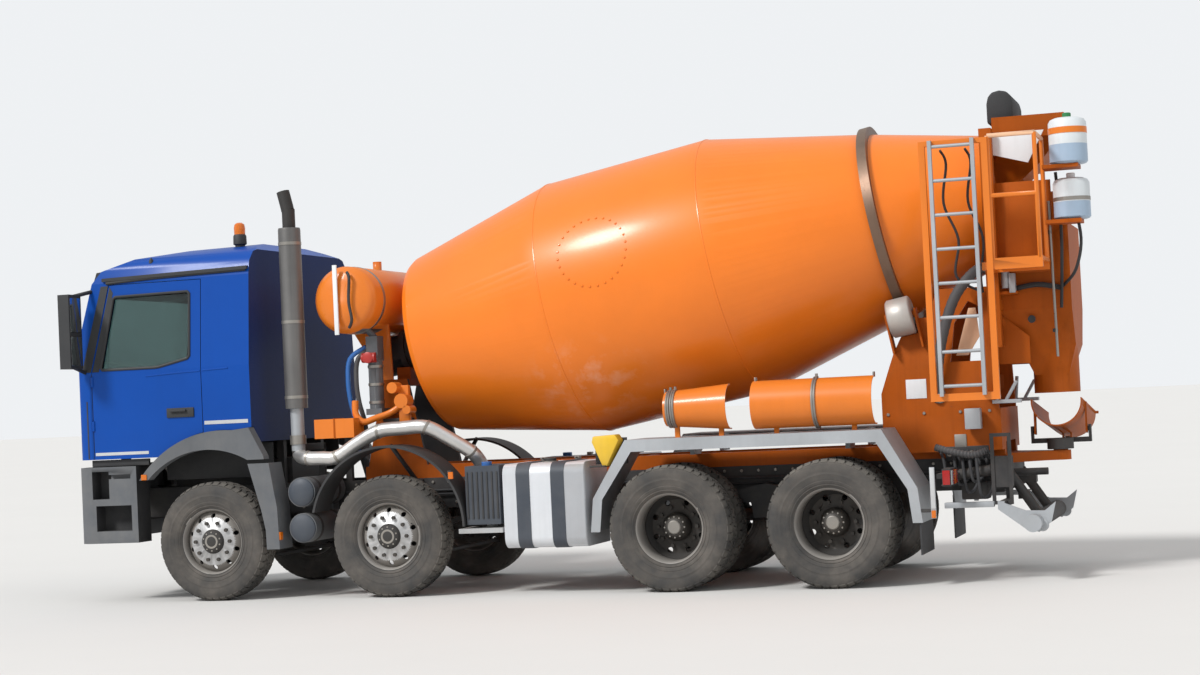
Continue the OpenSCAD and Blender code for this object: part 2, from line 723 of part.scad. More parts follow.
// Light metal guards over the rear axles with mud flaps
module rear_mudguards() {
  color(alu) both_sides() {
    side_plate(-1250, -600, [[at(3580), 520], [at(3610), 800], [at(3910), 1280], [at(6070), 1280],
      [at(6340), 800],
      [at(6370), 520], [at(6358), 520], [at(6328), 795], [at(6063), 1268], [at(3917), 1268], [at(3622), 795],
      [at(3592), 520]]);
    side_plate(-1250, -1240, [[at(3580), 520], [at(3610), 800], [at(3910), 1280], [at(6070), 1280],
      [at(6340), 800],
      [at(6370), 520], [at(6290), 520], [at(6260), 790], [at(6020), 1180], [at(3960), 1180], [at(3690), 790],
      [at(3660), 520]]);
    block(at(6340), at(6352), -1230, -610, 260, 640);
    block(at(4300), at(4340), -620, -400, upper_top, 1270);
    block(at(5650), at(5690), -620, -400, upper_top, 1270);
  }
}

// Air tanks, reducing agent tank, battery box and side step
module side_boxes() {
  color(grey) {
    both_sides() {
      for (z = [625, 940]) bar_y(at(890), z, 130, -1150, -500);
      block(at(860), at(920), -560, -frame_w / 2, 600, 960);
      block(at(2450), at(2760), -1190, -640, 610, 1110);
      block(at(2520), at(2700), -660, -frame_w / 2, 760, 900);
      block(at(2390), at(2790), -1240, -900, 540, 580);
      block(at(2560), at(2620), -1000, -900, 560, 640);
    }
  }
}

// Rounded profile of a fuel tank, drawn out by the thickness of a strap
module tank_profile(g) {
  r = 95 + g;
  translate([-1245 - g, 400 - g + r]) square([685 + g, 715 + 2 * g - 2 * r]);
  translate([-1245 - g + r, 400 - g]) square([685 + g - r, 715 + 2 * g]);
  for (z = [400 - g + r, 1115 + g - r]) translate([-1245 - g + r, z]) circle(r = r, $fn = 64);
}

// Fuel tank on the left and oil tank on the right
module fuel_tank() {
  color(alu) both_sides() {
    translate([at(2810), 0, 0]) rotate([90, 0, 90]) linear_extrude(height = 720) tank_profile(0);
    for (x = [2930, 3240]) translate([at(x), 0, 0])
      rotate([90, 0, 90]) linear_extrude(height = 120) tank_profile(6);
    block(at(2900), at(3440), -565, -frame_w / 2, 780, 900);
    bar_z(at(3150), -960, 50, 1100, 1145);
  }
}

// Exhaust stack with shield and wrapped pipe
module exhaust() {
  run = [[785, -950, 3620], [785, -950, 1250], [940, -1080, 1240], [1230, -1100, 1230], [1630, -1100, 1450],
    [2080, -1100, 1470], [2440, -1000, 1240], [2500, -900, 1110.3]];
  tip = [740, -950, 3640];
  color(steel) {
    bar_z(at(785), -950, 100, 1680, 3290);
    rod([at(785), -950, 3440], [at(tip[0]), tip[1], tip[2]], 60);
    translate([at(785), -950, 3440]) sphere(r = 66, $fn = 48);
    bar_z(at(785), -950, 60, 1250, 3440);
    for (i = [1:6]) {
      p = run[i];
      q = run[i + 1];
      translate([at(p[0]), p[1], p[2]]) sphere(r = 68, $fn = 48);
      rod([at(p[0]), p[1], p[2]], [at(q[0]), q[1], q[2]], 60);
    }
    block(at(755), at(815), -880, -frame_w / 2 - 10, 1300, 1360);
    block(at(755), at(815), -frame_w / 2 - 45, -frame_w / 2, 900, 1360);
  }
}

// Head lamps, tail lamps and side markers
module lamps() {
  color([0.8, 0.1, 0.05]) both_sides() {
    block(at(6530), at(6600), -cab_w / 2 - 30, 290 - cab_w / 2, 800, 940);
    block(at(6440), at(6600), 270 - cab_w / 2, -frame_w / 2, 850, 890);
    intersection() {
      lamp_place(0.3);
      translate([0, 0, 700]) linear_extrude(height = 400) plan(-grille_t + 5);
      block(front_x, front_x + 150, 150 - cab_w / 2, 450 - cab_w / 2, 700, 1000);
    }
  }
}

// Upper frame with the front pedestal
module upper_frame() {
  color(orange) {
    both_sides() block(at(1200), at(6950), -430, -325, rail_top, upper_top);
    for (x = [1300, 2500, 3700, 4900, 6100]) block(at(x), at(x) + 80, -340, 340, rail_top + 20,
      upper_top - 10);
    both_sides() side_plate(-430, -390, [[at(1230), upper_top], [at(1800), upper_top], [at(1640), 1900],
      [at(1400), 1900]]);
    difference() {
      union() {
        block(at(1420), at(1620), -430, 430, 1840, 1900);
        block(at(1450), at(1580), -200, 200, 1890, 2010);
      }
      on_drum_axis() translate([0, 0, -600]) cylinder(r = 180.3, h = 600, $fn = 64);
      on_drum_axis() translate([0, 0, -330.3]) cylinder(r = flange_r + seat_gap, h = 50.6, $fn = 64);
    }
    translate([0, 0, rail_top - 60]) linear_extrude(height = 80)
      polygon([[at(6760), -330], [at(6960), -330], [swivel_at - 90, -85], [swivel_at, -85], [swivel_at, 85],
        [swivel_at - 90, 85], [at(6960), 330], [at(6760), 330]]);
    bar_z(swivel_at, 0, post_r, rail_top - 60, 1115);
    bar_z(swivel_at, 0, 85, rail_top - 60, rail_top + 20);
  }
}

// Rear pedestal with the roller brackets and the hopper posts
module rear_pedestal() {
  color(orange) {
    both_sides() difference() {
      intersection() {
        side_plate(-600, -400, [[at(5970), upper_top], [at(5970), 1560], [at(6090), 1900], [at(6230), 2180],
          [at(6400), 2180], [at(6460), 2410], [at(6900), 2410], [at(6950), upper_top]]);
        translate([at(5960), 0, 0]) rotate([90, 0, 90]) linear_extrude(height = 1000)
          polygon([[-590, upper_top], [-590, 1780], [-520, 2420], [-480, 2420], [-550, 1780],
            [-550, upper_top]]);
      }
      side_plate(-610, -400, [[at(6560), 1800], [at(6840), 1800], [at(6840), 2230], [at(6720), 2300],
        [at(6600), 2120]]);
      roller_room();
    }
    both_sides() side_plate(-551, -430, [[at(5970), upper_top], [at(5970), 1560], [at(6060), 1815],
      [at(6100), 1815],
      [at(6010), 1560], [at(6010), upper_top]]);
    block(at(5970), at(6010), -550, 550, upper_top, 1500);
    both_sides() block(at(6120), at(6850), -551, -490, 1560, 1680);
    block(at(6900), at(6950), -590, 590, upper_top, 1400);
    both_sides() block(at(6900), at(7000), -600, -545, 1900, 2190);
    for (i = [0:4]) {
      p = hose_run[i];
      q = hose_run[i + 1];
      if (i > 0) translate([at(p[0]), p[1], p[2]]) sphere(r = hose_r + 3, $fn = 48);
      rod([at(p[0]), p[1], p[2]], [at(q[0]), q[1], q[2]], hose_r);
    }
    both_sides() block(at(5970), at(6950), -590, -430, upper_top - 60, upper_top);
    both_sides() block(at(6900), at(7000), -690, -590, 1900, 3700);
    both_sides() on_drum_axis() for (e = [-1, 1])
      translate([roller_down - 45, -roller_half - 45, ring_at + e * (roller_w / 2 + 24) - 8]) cube([330,
        125, 16]);
    both_sides() on_drum_axis() translate([roller_down, -roller_half, ring_at - roller_w / 2 - 32])
      cylinder(r = 30, h = roller_w + 64, $fn = 48);
  }
}

// Points and radius of the thick hose behind the ladder
hose_run = [[6905, -640, 2560], [6800, -690, 2520], [6640, -700, 2330], [6530, -700, 2040],
  [6470, -690, 1750],
  [6450, -570, 1480]];
hose_r = 45;

// Space in which a roller turns
module roller_room() {
  on_drum_axis() translate([roller_down, -roller_half, ring_at - roller_w / 2 - 16])
    cylinder(r = roller_r + 12, h = roller_w + 32, $fn = 64);
}

// Radius of the gearbox's flange
flange_r = 215;

// Drum gearbox and hydraulic motor
module drum_drive() {
  color(dark) on_drum_axis() difference() {
    union() {
      translate([0, 0, -520]) cylinder(r = 180, h = 365, $fn = 64);
      translate([0, 0, -700]) cylinder(r = 95, h = 190, $fn = 64);
      translate([0, 0, -330]) cylinder(r = flange_r, h = 50, $fn = 64);
    }
    translate([0, 0, -260]) cylinder(r = 80 + run_fit, h = 200, $fn = 64);
  }
}

// Hollow drum with its drive spigot
module drum() {
  color(orange) on_drum_axis() rotate_extrude($fn = 128)
    polygon([[0, -250], [80, -250], [80, -148], [200, -148], [200, -60], [620, -45], [790, 0],
      [drum_front_r, 45], [drum_mid_r, seam_1], [drum_mid_r, seam_2], [drum_ring_r, ring_at],
      [mouth_r, mouth_at], [mouth_r - drum_wall, mouth_at], [drum_ring_r - drum_wall, ring_at - 4],
      [drum_mid_r - drum_wall, seam_2 - 3], [drum_mid_r - drum_wall, seam_1 + 3],
      [drum_front_r - drum_wall, 48], [780, 20], [610, -25], [0, -30]]);
}

// Track ring on the drum
module track_ring() {
  s1 = (drum_mid_r - drum_ring_r) / (ring_at - seam_2);
  s2 = (drum_ring_r - mouth_r) / (mouth_at - ring_at);
  color(steel) on_drum_axis() rotate_extrude($fn = 128)
    polygon([[drum_ring_r + s1 * ring_w / 2 + 0.05, ring_at - ring_w / 2],
      [ring_out_r, ring_at - ring_w / 2],
      [ring_out_r, ring_at + ring_w / 2], [drum_ring_r - s2 * ring_w / 2 + 0.05, ring_at + ring_w / 2],
      [drum_ring_r + 0.05, ring_at]]);
}

// One drum roller
module roller(s) {
  color(steel) on_side(s) on_drum_axis() translate([roller_down, -roller_half, ring_at - roller_w / 2])
    difference() {
      rotate_extrude($fn = 96)
        polygon([[0, 0], [roller_r - 14, 0], [roller_r, 14], [roller_r, roller_w - 14],
          [roller_r - 14, roller_w],
          [0, roller_w]]);
      translate([0, 0, -1]) cylinder(r = 30 + run_fit, h = roller_w + 2, $fn = 48);
    }
}

// Water tank across the truck behind the cab
module water_tank() {
  color(orange) {
    translate([at(1270), 0, 2620]) rotate([90, 0, 0]) rotate_extrude($fn = 96)
      polygon([[0, -960], [160, -948], [255, -915], [water_r, -860], [water_r, 860], [255, 915], [160, 948],
        [0, 960]]);
    both_sides() side_plate(-420, -400, [[at(1400), 1900.3], [at(1500), 1900.3], [at(1480), 2460],
      [at(1060), 2460]]);
    bar_z(at(1300), -200, 40, 2900, 2990);
    block(at(970), at(1350), -1000, -780, 1400, 1570);
    block(at(1000), at(1060), -800, -380, 1430, 1480);
    block(at(1000), at(1060), -430, -380, rail_top, 1480);
    bar_z(at(1450), -690, 65, 1640, 2080);
    block(at(1395), at(1505), -760, -620, 2070, 2290);
    block(at(1380), at(1530), -780, -430.3, 1590, 1645);
    rod([at(1450), -690, 2280], [at(1330), -650, 2400], 30);
  }
}

// Feed hopper above the mouth
module hopper_form(e) {
  intersection() {
    side_plate(-600, 600, [[at(6990) + e, hopper_top + e], [at(7580) - e, hopper_top + e],
      [at(7580) - e, 3640], [at(7190) - e * 0.3, 3300], [at(6880) - e, 3140 - e],
        [at(6800) + e * 0.3, 3300 - e],
      [at(6990) + e, 3480]]);
    translate([at(6700), 0, 0]) rotate([90, 0, 90]) linear_extrude(height = 1000)
      polygon([[-hopper_half + e, hopper_top + 100], [-hopper_half + e, 3620], [-230 + e, 3420],
        [-230 + e, 3100], [230 - e, 3100], [230 - e, 3420], [hopper_half - e, 3620],
        [hopper_half - e, hopper_top + 100]]);
  }
}

module feed_hopper() {
  color(orange) {
    difference() {
      hopper_form(0);
      hopper_form(plate_t);
    }
    both_sides() block(at(6960), at(7000), -589.7, -hopper_half + 5, 3600, 3680);
    difference() {
      block(at(6930), at(7150), -330, 330, hopper_top - 20, 4050);
      block(at(6960), at(7180), -300, 300, hopper_top - 30, 4020);
      block(at(6990) + 5, at(7150) + 5, -400, 400, hopper_top - 30, hopper_top + 5);
    }
  }
}

// Funnel below the mouth that leads to the chute
module funnel_form(e, low) {
  intersection() {
    side_plate(-600, 600, [[at(6960) + e, 2540 + e * 2], [at(7560) - e, 2900 + e * 3], [at(7560) - e, 1900],
      [swivel_at + 120 - e, low], [swivel_at - 160 + e, low], [at(6960) + e, 2250]]);
    translate([at(6700), 0, 0]) rotate([90, 0, 90]) linear_extrude(height = 1200)
      polygon([[-480 + e, 3000], [-480 + e, 2200], [-160 + e, low], [160 - e, low], [480 - e, 2200],
        [480 - e, 3000]]);
  }
}

module discharge_funnel() {
  color(orange) {
    difference() {
      union() {
        funnel_form(0, outlet_z + 150);
        bar_z(swivel_at, 0, spout_r, outlet_z, 2100);
      }
      funnel_form(plate_t, outlet_z + 150 + plate_t);
      bar_z(swivel_at, 0, spout_r - plate_t, outlet_z - 10, 2110);
    }
    both_sides() block(at(6940), at(7000), -589.7, -475, 2210, 2290);
  }
}

// Radius of the funnel's spout and of the swivel post
spout_r = 190;
post_r = 60;
// Place of the chute's tilting pins outwards of the swivel axis, their height, radius and half distance
tilt_out = 120;
tilt_z = 1190;
tilt_pin_r = 20;
// Radius and length of the pins that hold an extension chute
hook_r = 12;
hook_len = 30;
// Slope of the stowed chute in degrees and height of its trough's middle above the pins
chute_slope = 6;
trough_up = 215;
// The jack's lower pin on the carrier and its upper eye on the chute, both outwards of the swivel axis
jack_y0 = 175;
jack_z0 = 1010;
jack_y1 = 640;
jack_z1 = tilt_z + (trough_up - trough_r - 45) * cos(chute_slope) - (jack_y1 - tilt_out) * sin(chute_slope);
jack_len = sqrt((jack_y1 - jack_y0) * (jack_y1 - jack_y0) + (jack_z1 - jack_z0) * (jack_z1 - jack_z0));
jack_turn = atan2(jack_z1 - jack_z0, jack_y1 - jack_y0);

// Turntable arm under the chute
module chute_carrier() {
  color(dark) translate([swivel_at, 0, 0]) {
    difference() {
      union() {
        bar_z(0, 0, 110, rail_top + 30, 1120);
        block(-70, 70, 0, tilt_out + 40, 1070, 1120);
        block(-250, 250, tilt_out - 40, tilt_out + 40, 1080, 1120);
      }
      bar_z(0, 0, post_r + run_fit, rail_top, 1300);
    }
    for (s = [-1, 1]) {
      block(s * 240 - 10, s * 240 + 10, tilt_out - 40, tilt_out + 40, 1080, tilt_z + 35);
      block(s * 34 - 8, s * 34 + 8, tilt_out - 20, jack_y0 + 30, jack_z0 - 30, 1080);
    }
    bar_x(tilt_out, tilt_z, tilt_pin_r, -250, -205);
    bar_x(tilt_out, tilt_z, tilt_pin_r, 205, 250);
    bar_x(jack_y0, jack_z0, 12, -42, 42);
  }
}

// Main chute, stowed towards the right
module chute() {
  color(orange) translate([swivel_at, tilt_out, tilt_z]) rotate([-chute_slope, 0, 0]) {
    difference() {
      translate([0, -320, trough_up]) rotate([-90, 0, 0]) cylinder(r = trough_r, h = chute_len, $fn = 96);
      translate([0, -330, trough_up]) rotate([-90, 0, 0])
        cylinder(r = trough_r - plate_t, h = chute_len + 40, $fn = 96);
      block(-300, 300, -340, chute_len, trough_up + 20, trough_up + 300);
    }
    difference() {
      union() for (s = [-1, 1]) block(s * 214 - 8, s * 214 + 8, -35, 35, -35, trough_up + 10);
      bar_x(0, 0, tilt_pin_r + run_fit, -300, 300);
    }
    for (s = [-1, 1]) bar_x(chute_len - 380, trough_up, hook_r, s > 0 ? trough_r - 4 : -trough_r - hook_len,
      s > 0 ? trough_r + hook_len : 4 - trough_r);
    for (s = [-1, 1]) block(s * 34 - 8, s * 34 + 8, jack_y1 / cos(chute_slope) - tilt_out - 35,
      jack_y1 / cos(chute_slope) - tilt_out + 25, trough_up - trough_r - 70, trough_up - trough_r + 12);
  }
}

// Barrel of the chute's jack
module jack_barrel() {
  color(dark) translate([swivel_at, jack_y0, jack_z0]) rotate([jack_turn, 0, 0]) difference() {
    union() {
      bar_x(0, 0, 26, -22, 22);
      translate([0, 0, 0]) rotate([-90, 0, 0]) cylinder(r = 26, h = 270, $fn = 48);
    }
    bar_x(0, 0, 12 + run_fit, -60, 60);
    translate([0, 40, 0]) rotate([-90, 0, 0]) cylinder(r = 15 + run_fit, h = 300, $fn = 48);
  }
}

// Rod of the chute's jack
module jack_rod() {
  color(steel) translate([swivel_at, jack_y0, jack_z0]) rotate([jack_turn, 0, 0]) {
    translate([0, 120, 0]) rotate([-90, 0, 0]) cylinder(r = 15, h = jack_len - 130, $fn = 48);
    difference() {
      bar_x(jack_len, 0, 22, -20, 20);
      bar_x(jack_len, 0, 12, -30, 30);
    }
  }
}

// Extension chutes stored over the left rear guard
module stored_chutes() {
  color(orange) {
    difference() {
      translate([at(4990), -1030, 1520]) rotate([0, 90, 0]) rotate_extrude($fn = 96)
        polygon([[190, 0], [200, 0], [200, 1010], [190, 1010]]);
      block(at(4980), at(6010), -995, -700, 1200, 1800);
    }
    difference() {
      translate([at(4230), -1030, 1520]) rotate([0, 90, 0]) rotate_extrude($fn = 96)
        polygon([[135, 0], [145, 0], [190, 550], [180, 550]]);
      block(at(4200), at(4800), -1010, -700, 1200, 1800);
    }
    for (x = [5150, 5800]) block(at(x), at(x) + 40, -1070, -1040, 1280, 1326);
    block(at(4680), at(4720), -1070, -1040, 1280, 1345);
    block(at(4300), at(4340), -1070, -1040, 1280, 1378);
  }
}

// Place of the platform's rear rail, radius of the rails and gap between pieces that lie against each other
rail_at = platform_end - 20;
rail_r = 18;
seat_gap = 0.3;

// Working platform with its rails
module platform() {
  color(orange) {
    block(at(7010), at(platform_end), -1200, -640, platform_z - 30, platform_z);
    for (p = [[7030, -1185], [rail_at, -1185], [rail_at, -660]])
      bar_z(at(p[0]), p[1], rail_r, platform_z - 10, 3580);
    bar_x(-1185, 3580, rail_r, at(7030), at(rail_at));
    bar_x(-1185, 3100, rail_r, at(7030), at(rail_at));
    bar_y(at(rail_at), 3580, rail_r, -1185, -660);
    block(at(6940), at(6980), -1190, -690.3, platform_z - 90, platform_z - 29);
    block(at(6940), at(platform_end), -1200, -1150, platform_z - 90, platform_z - 29);
    block(at(6940), at(platform_end), -700, -690.3, platform_z - 90, platform_z - 29);
    block(at(6480), at(6530), -1215, -1165, 1530, 3570);
    block(at(6980), at(7030), -1215, -1165, 1530, 3570);
    block(at(6480), at(7030), -1215, -1165, 1480, 1540);
    block(at(6850), at(6930), -1200, -590, 1480, 1540);
    block(at(6480), at(7030), -1215, -1165, 3530, 3570);
  }
}

// Ladder on the left side
module ladder() {
  color(alu) {
    for (x = [6560, 6900]) block(at(x), at(x) + 30, -1260, -1215, 1520, 3570);
    for (i = [0:rung_count - 1]) bar_x(-1238, 1600 + i * 1920 / (rung_count - 1), 14, at(6580), at(6910));
  }
}

// Plastic canisters on brackets at the rear
module canisters() {
  x = at(canister_at);
  color([0.85, 0.87, 0.88]) {
    bar_z(x, -780, canister_r, 3340, 3720);
    bar_z(x, -700, canister_r - 5, 2900, 3240);
    for (p = [[3310, -900, -640], [2870, -850, -600]])
      block(at(rail_at) + rail_r + seat_gap, x + 80, p[1], p[2], p[0], p[0] + 30);
  }
}

chassis_frame();
engine_block();
axles();
bumper();
front_mudguards();
rear_mudguards();
side_boxes();
fuel_tank();
exhaust();
lamps();
upper_frame();
rear_pedestal();
drum_drive();
water_tank();
feed_hopper();
discharge_funnel();
stored_chutes();
platform();
ladder();
canisters();
knuckle(axle_1_x, -1);  // knuckle_1_left
knuckle(axle_1_x, 1);  // knuckle_1_right
knuckle(axle_2_x, -1);  // knuckle_2_left
knuckle(axle_2_x, 1);  // knuckle_2_right
tie_rod(axle_1_x);  // tie_rod_1
tie_rod(axle_2_x);  // tie_rod_2
tyre(axle_1_x, -1);  // tyre_1_left
tyre(axle_1_x, 1);  // tyre_1_right
tyre(axle_2_x, -1);  // tyre_2_left
tyre(axle_2_x, 1);  // tyre_2_right
tyres(axle_3_x, -1);  // tyres_3_left
tyres(axle_3_x, 1);  // tyres_3_right
tyres(axle_4_x, -1);  // tyres_4_left
tyres(axle_4_x, 1);  // tyres_4_right
rim(axle_1_x, -1);  // rim_1_left
rim(axle_1_x, 1);  // rim_1_right
rim(axle_2_x, -1);  // rim_2_left
rim(axle_2_x, 1);  // rim_2_right
rims(axle_3_x, -1);  // rims_3_left
rims(axle_3_x, 1);  // rims_3_right
rims(axle_4_x, -1);  // rims_4_left
rims(axle_4_x, 1);  // rims_4_right
drum();
track_ring();
roller(-1);  // roller_left
roller(1);  // roller_right
chute_carrier();
chute();
jack_barrel();
jack_rod();
cab_shell();
cab_trim();
windscreen();
cab_interior();
door(-1);  // door_left
door(1);  // door_right
door_glass(-1);  // door_glass_left
door_glass(1);  // door_glass_right
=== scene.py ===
"""Concrete mixer truck: finishes, fittings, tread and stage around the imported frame. Metres, +X rearwards."""

import logging
import math
from dataclasses import dataclass
from enum import Enum
from typing import Callable, Iterable, Iterator, Sequence

import bmesh
import bpy
from mathutils import Matrix, Vector


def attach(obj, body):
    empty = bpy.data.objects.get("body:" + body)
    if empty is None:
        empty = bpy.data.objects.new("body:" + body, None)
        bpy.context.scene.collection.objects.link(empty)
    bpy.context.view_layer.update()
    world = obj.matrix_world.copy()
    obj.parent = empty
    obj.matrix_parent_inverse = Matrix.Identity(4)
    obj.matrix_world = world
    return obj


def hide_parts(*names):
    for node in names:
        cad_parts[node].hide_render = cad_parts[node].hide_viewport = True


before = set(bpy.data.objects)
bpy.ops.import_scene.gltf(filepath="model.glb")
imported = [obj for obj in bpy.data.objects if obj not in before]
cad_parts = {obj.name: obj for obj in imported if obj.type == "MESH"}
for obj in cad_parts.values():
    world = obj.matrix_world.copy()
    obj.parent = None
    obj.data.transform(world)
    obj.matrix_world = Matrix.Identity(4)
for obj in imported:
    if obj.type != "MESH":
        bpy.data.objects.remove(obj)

LOG = logging.getLogger("mixer_truck")
Point = Sequence[float]
Colour = tuple[float, float, float]
AXLE_1 = -3.18
WHEEL_X = (-3.18, -1.48, 1.07, 2.42)
TYRE_R = 0.53
DRUM_START = Vector((-1.375, 0.0, 2.208))
DRUM_TILT = math.radians(10.75)
DRUM_AXIS = Vector((math.cos(DRUM_TILT), 0.0, math.sin(DRUM_TILT)))
UP = Vector((0.0, 0.0, 1.0))
OUT = Vector((0.0, 1.0, 0.0))
SIDES = (-1, 1)
SIDE_NAMES = {-1: "left", 1: "right"}
SMOOTH_ANGLE = math.radians(34)


def at(x: float) -> float:
    """Position along the truck from a distance behind the first axle."""
    return AXLE_1 + x


def oblong(x0: float, x1: float, z0: float, z1: float) -> tuple[Point, ...]:
    """The four corners of an upright oblong."""
    return ((x0, z0), (x1, z0), (x1, z1), (x0, z1))


def drawn_faces(count: int) -> list[Sequence[int]]:
    """Corner numbers of the faces of an outline drawn from one end to the other."""
    ends = [range(count), range(2 * count - 1, count - 1, -1)]
    return ends + [(i, (i + 1) % count, count + (i + 1) % count, count + i) for i in range(count)]


def turned_to(axis: Point) -> Matrix:
    """The turn that points Z along an axis."""
    return Vector(axis).normalized().to_track_quat("Z", "X").to_matrix()


def skin_rings(part: bmesh.types.BMesh, rings: Sequence[Sequence[bmesh.types.BMVert]]) -> None:
    """Joins rings of equal length into a closed skin.

    Args:
        part: The mesh that holds the rings.
        rings: The rings in order.
    """
    count = len(rings[0])
    for a, b in zip(rings, rings[1:]):
        for i in range(count):
            part.faces.new((a[i], a[(i + 1) % count], b[(i + 1) % count], b[i]))
    part.faces.new(rings[0])
    part.faces.new(rings[-1])
    bmesh.ops.recalc_face_normals(part, faces=part.faces)


def as_mesh(part: bmesh.types.BMesh) -> bpy.types.Mesh:
    """Writes a shape to a mesh and frees it.

    Args:
        part: The shape.

    Returns:
        The new mesh.
    """
    mesh = bpy.data.meshes.new("shape")
    part.to_mesh(mesh)
    part.free()
    return mesh


def placed(name: str, data: bpy.types.ID) -> bpy.types.Object:
    """Makes an object from its data and puts it in the scene.

    Args:
        name: The object's name.
        data: Its mesh, camera or lamp.

    Returns:
        The new object.
    """
    made = bpy.data.objects.new(name, data)
    bpy.context.scene.collection.objects.link(made)
    return made


class Layout(Enum):
    """The ways in which a part is repeated."""

    ROW = "row"
    RING = "ring"


class Nodes:
    """A short way to write a node tree."""

    def __init__(self, tree: bpy.types.NodeTree) -> None:
        """Starts with an emptied tree."""
        self.tree = tree
        tree.nodes.clear()

    def add(self, kind: str, inputs: dict | None = None, **settings: object) -> bpy.types.Node:
        """Adds one node.

        Args:
            kind: The node's type name.
            inputs: Values or sockets by input name or index.
            **settings: Properties of the node.

        Returns:
            The new node.
        """
        node = self.tree.nodes.new(kind)
        for key, value in settings.items():
            setattr(node, key, value)
        for key, value in (inputs or {}).items():
            if isinstance(value, bpy.types.NodeSocket):
                self.tree.links.new(value, node.inputs[key])
            else:
                node.inputs[key].default_value = value
        return node


class Graph(Nodes):
    """The nodes of a material over the object's own coordinates."""

    def __init__(self, name: str) -> None:
        """Starts an empty material.

        Args:
            name: The material's name.
        """
        self.material = bpy.data.materials.new(name)
        self.material.use_nodes = True
        super().__init__(self.material.node_tree)
        self.place = self.add("ShaderNodeTexCoord")
        self.coords = self.place.outputs["Object"]

    def noise(self, scale: float, detail: float = 4.0, stretch: Point | None = None) -> bpy.types.NodeSocket:
        """A noise value over the object's own coordinates.

        Args:
            scale: Size of the pattern.
            detail: Octaves of the noise.
            stretch: Scale along each axis, for streaks.

        Returns:
            The socket with the noise value.
        """
        coords = self.coords
        if stretch:
            coords = self.add("ShaderNodeMapping", {"Vector": coords, "Scale": stretch}).outputs[0]
        node = self.add("ShaderNodeTexNoise", {"Vector": coords, "Scale": scale, "Detail": detail,
                                               "Roughness": 0.62})
        return node.outputs[0]

    def ramp(self, value: bpy.types.NodeSocket, low: float, high: float, out_low: float = 0.0,
             out_high: float = 1.0) -> bpy.types.NodeSocket:
        """Maps a value from one range to another and clamps it.

        Args:
            value: The value to map.
            low: Value that becomes out_low.
            high: Value that becomes out_high.
            out_low: Result at low.
            out_high: Result at high.

        Returns:
            The mapped value.
        """
        node = self.add("ShaderNodeMapRange", {0: value, 1: low, 2: high, 3: out_low, 4: out_high})
        return node.outputs[0]

    def math(self, operation: str, a: object, b: object = 0.0) -> bpy.types.NodeSocket:
        """One clamped arithmetic step on two values."""
        return self.add("ShaderNodeMath", {0: a, 1: b}, operation=operation, use_clamp=True).outputs[0]

    def mix(self, share: object, a: object, b: object) -> bpy.types.NodeSocket:
        """Mixes two colours by a share.

        Args:
            share: Share of the second colour.
            a: First colour.
            b: Second colour.

        Returns:
            The mixed colour.
        """
        a, b = (tuple(c) + (1.0,) if isinstance(c, tuple) and len(c) == 3 else c for c in (a, b))
        return self.add("ShaderNodeMix", {0: share, 6: a, 7: b}, data_type="RGBA").outputs[2]

    def principled(self, inputs: dict) -> bpy.types.Material:
        """Ends the graph with a principled shader.

        Args:
            inputs: Values or sockets by input name.

        Returns:
            The finished material.
        """
        shader = self.add("ShaderNodeBsdfPrincipled", inputs)
        self.add("ShaderNodeOutputMaterial", {0: shader.outputs[0]})
        return self.material


MADE: dict[str, bpy.types.Material] = {}


@dataclass(frozen=True)
class Surface:
    """What faces are made of."""

    name: str
    slot: str
    colour: Colour

    def material(self) -> bpy.types.Material:
        """The material of this surface, made once.

        Returns:
            The material.
        """
        if self.name not in MADE:
            MADE[self.name] = self.build()
        return MADE[self.name]

    def build(self) -> bpy.types.Material:
        """Makes the material; each kind of surface has its own way."""
        raise NotImplementedError


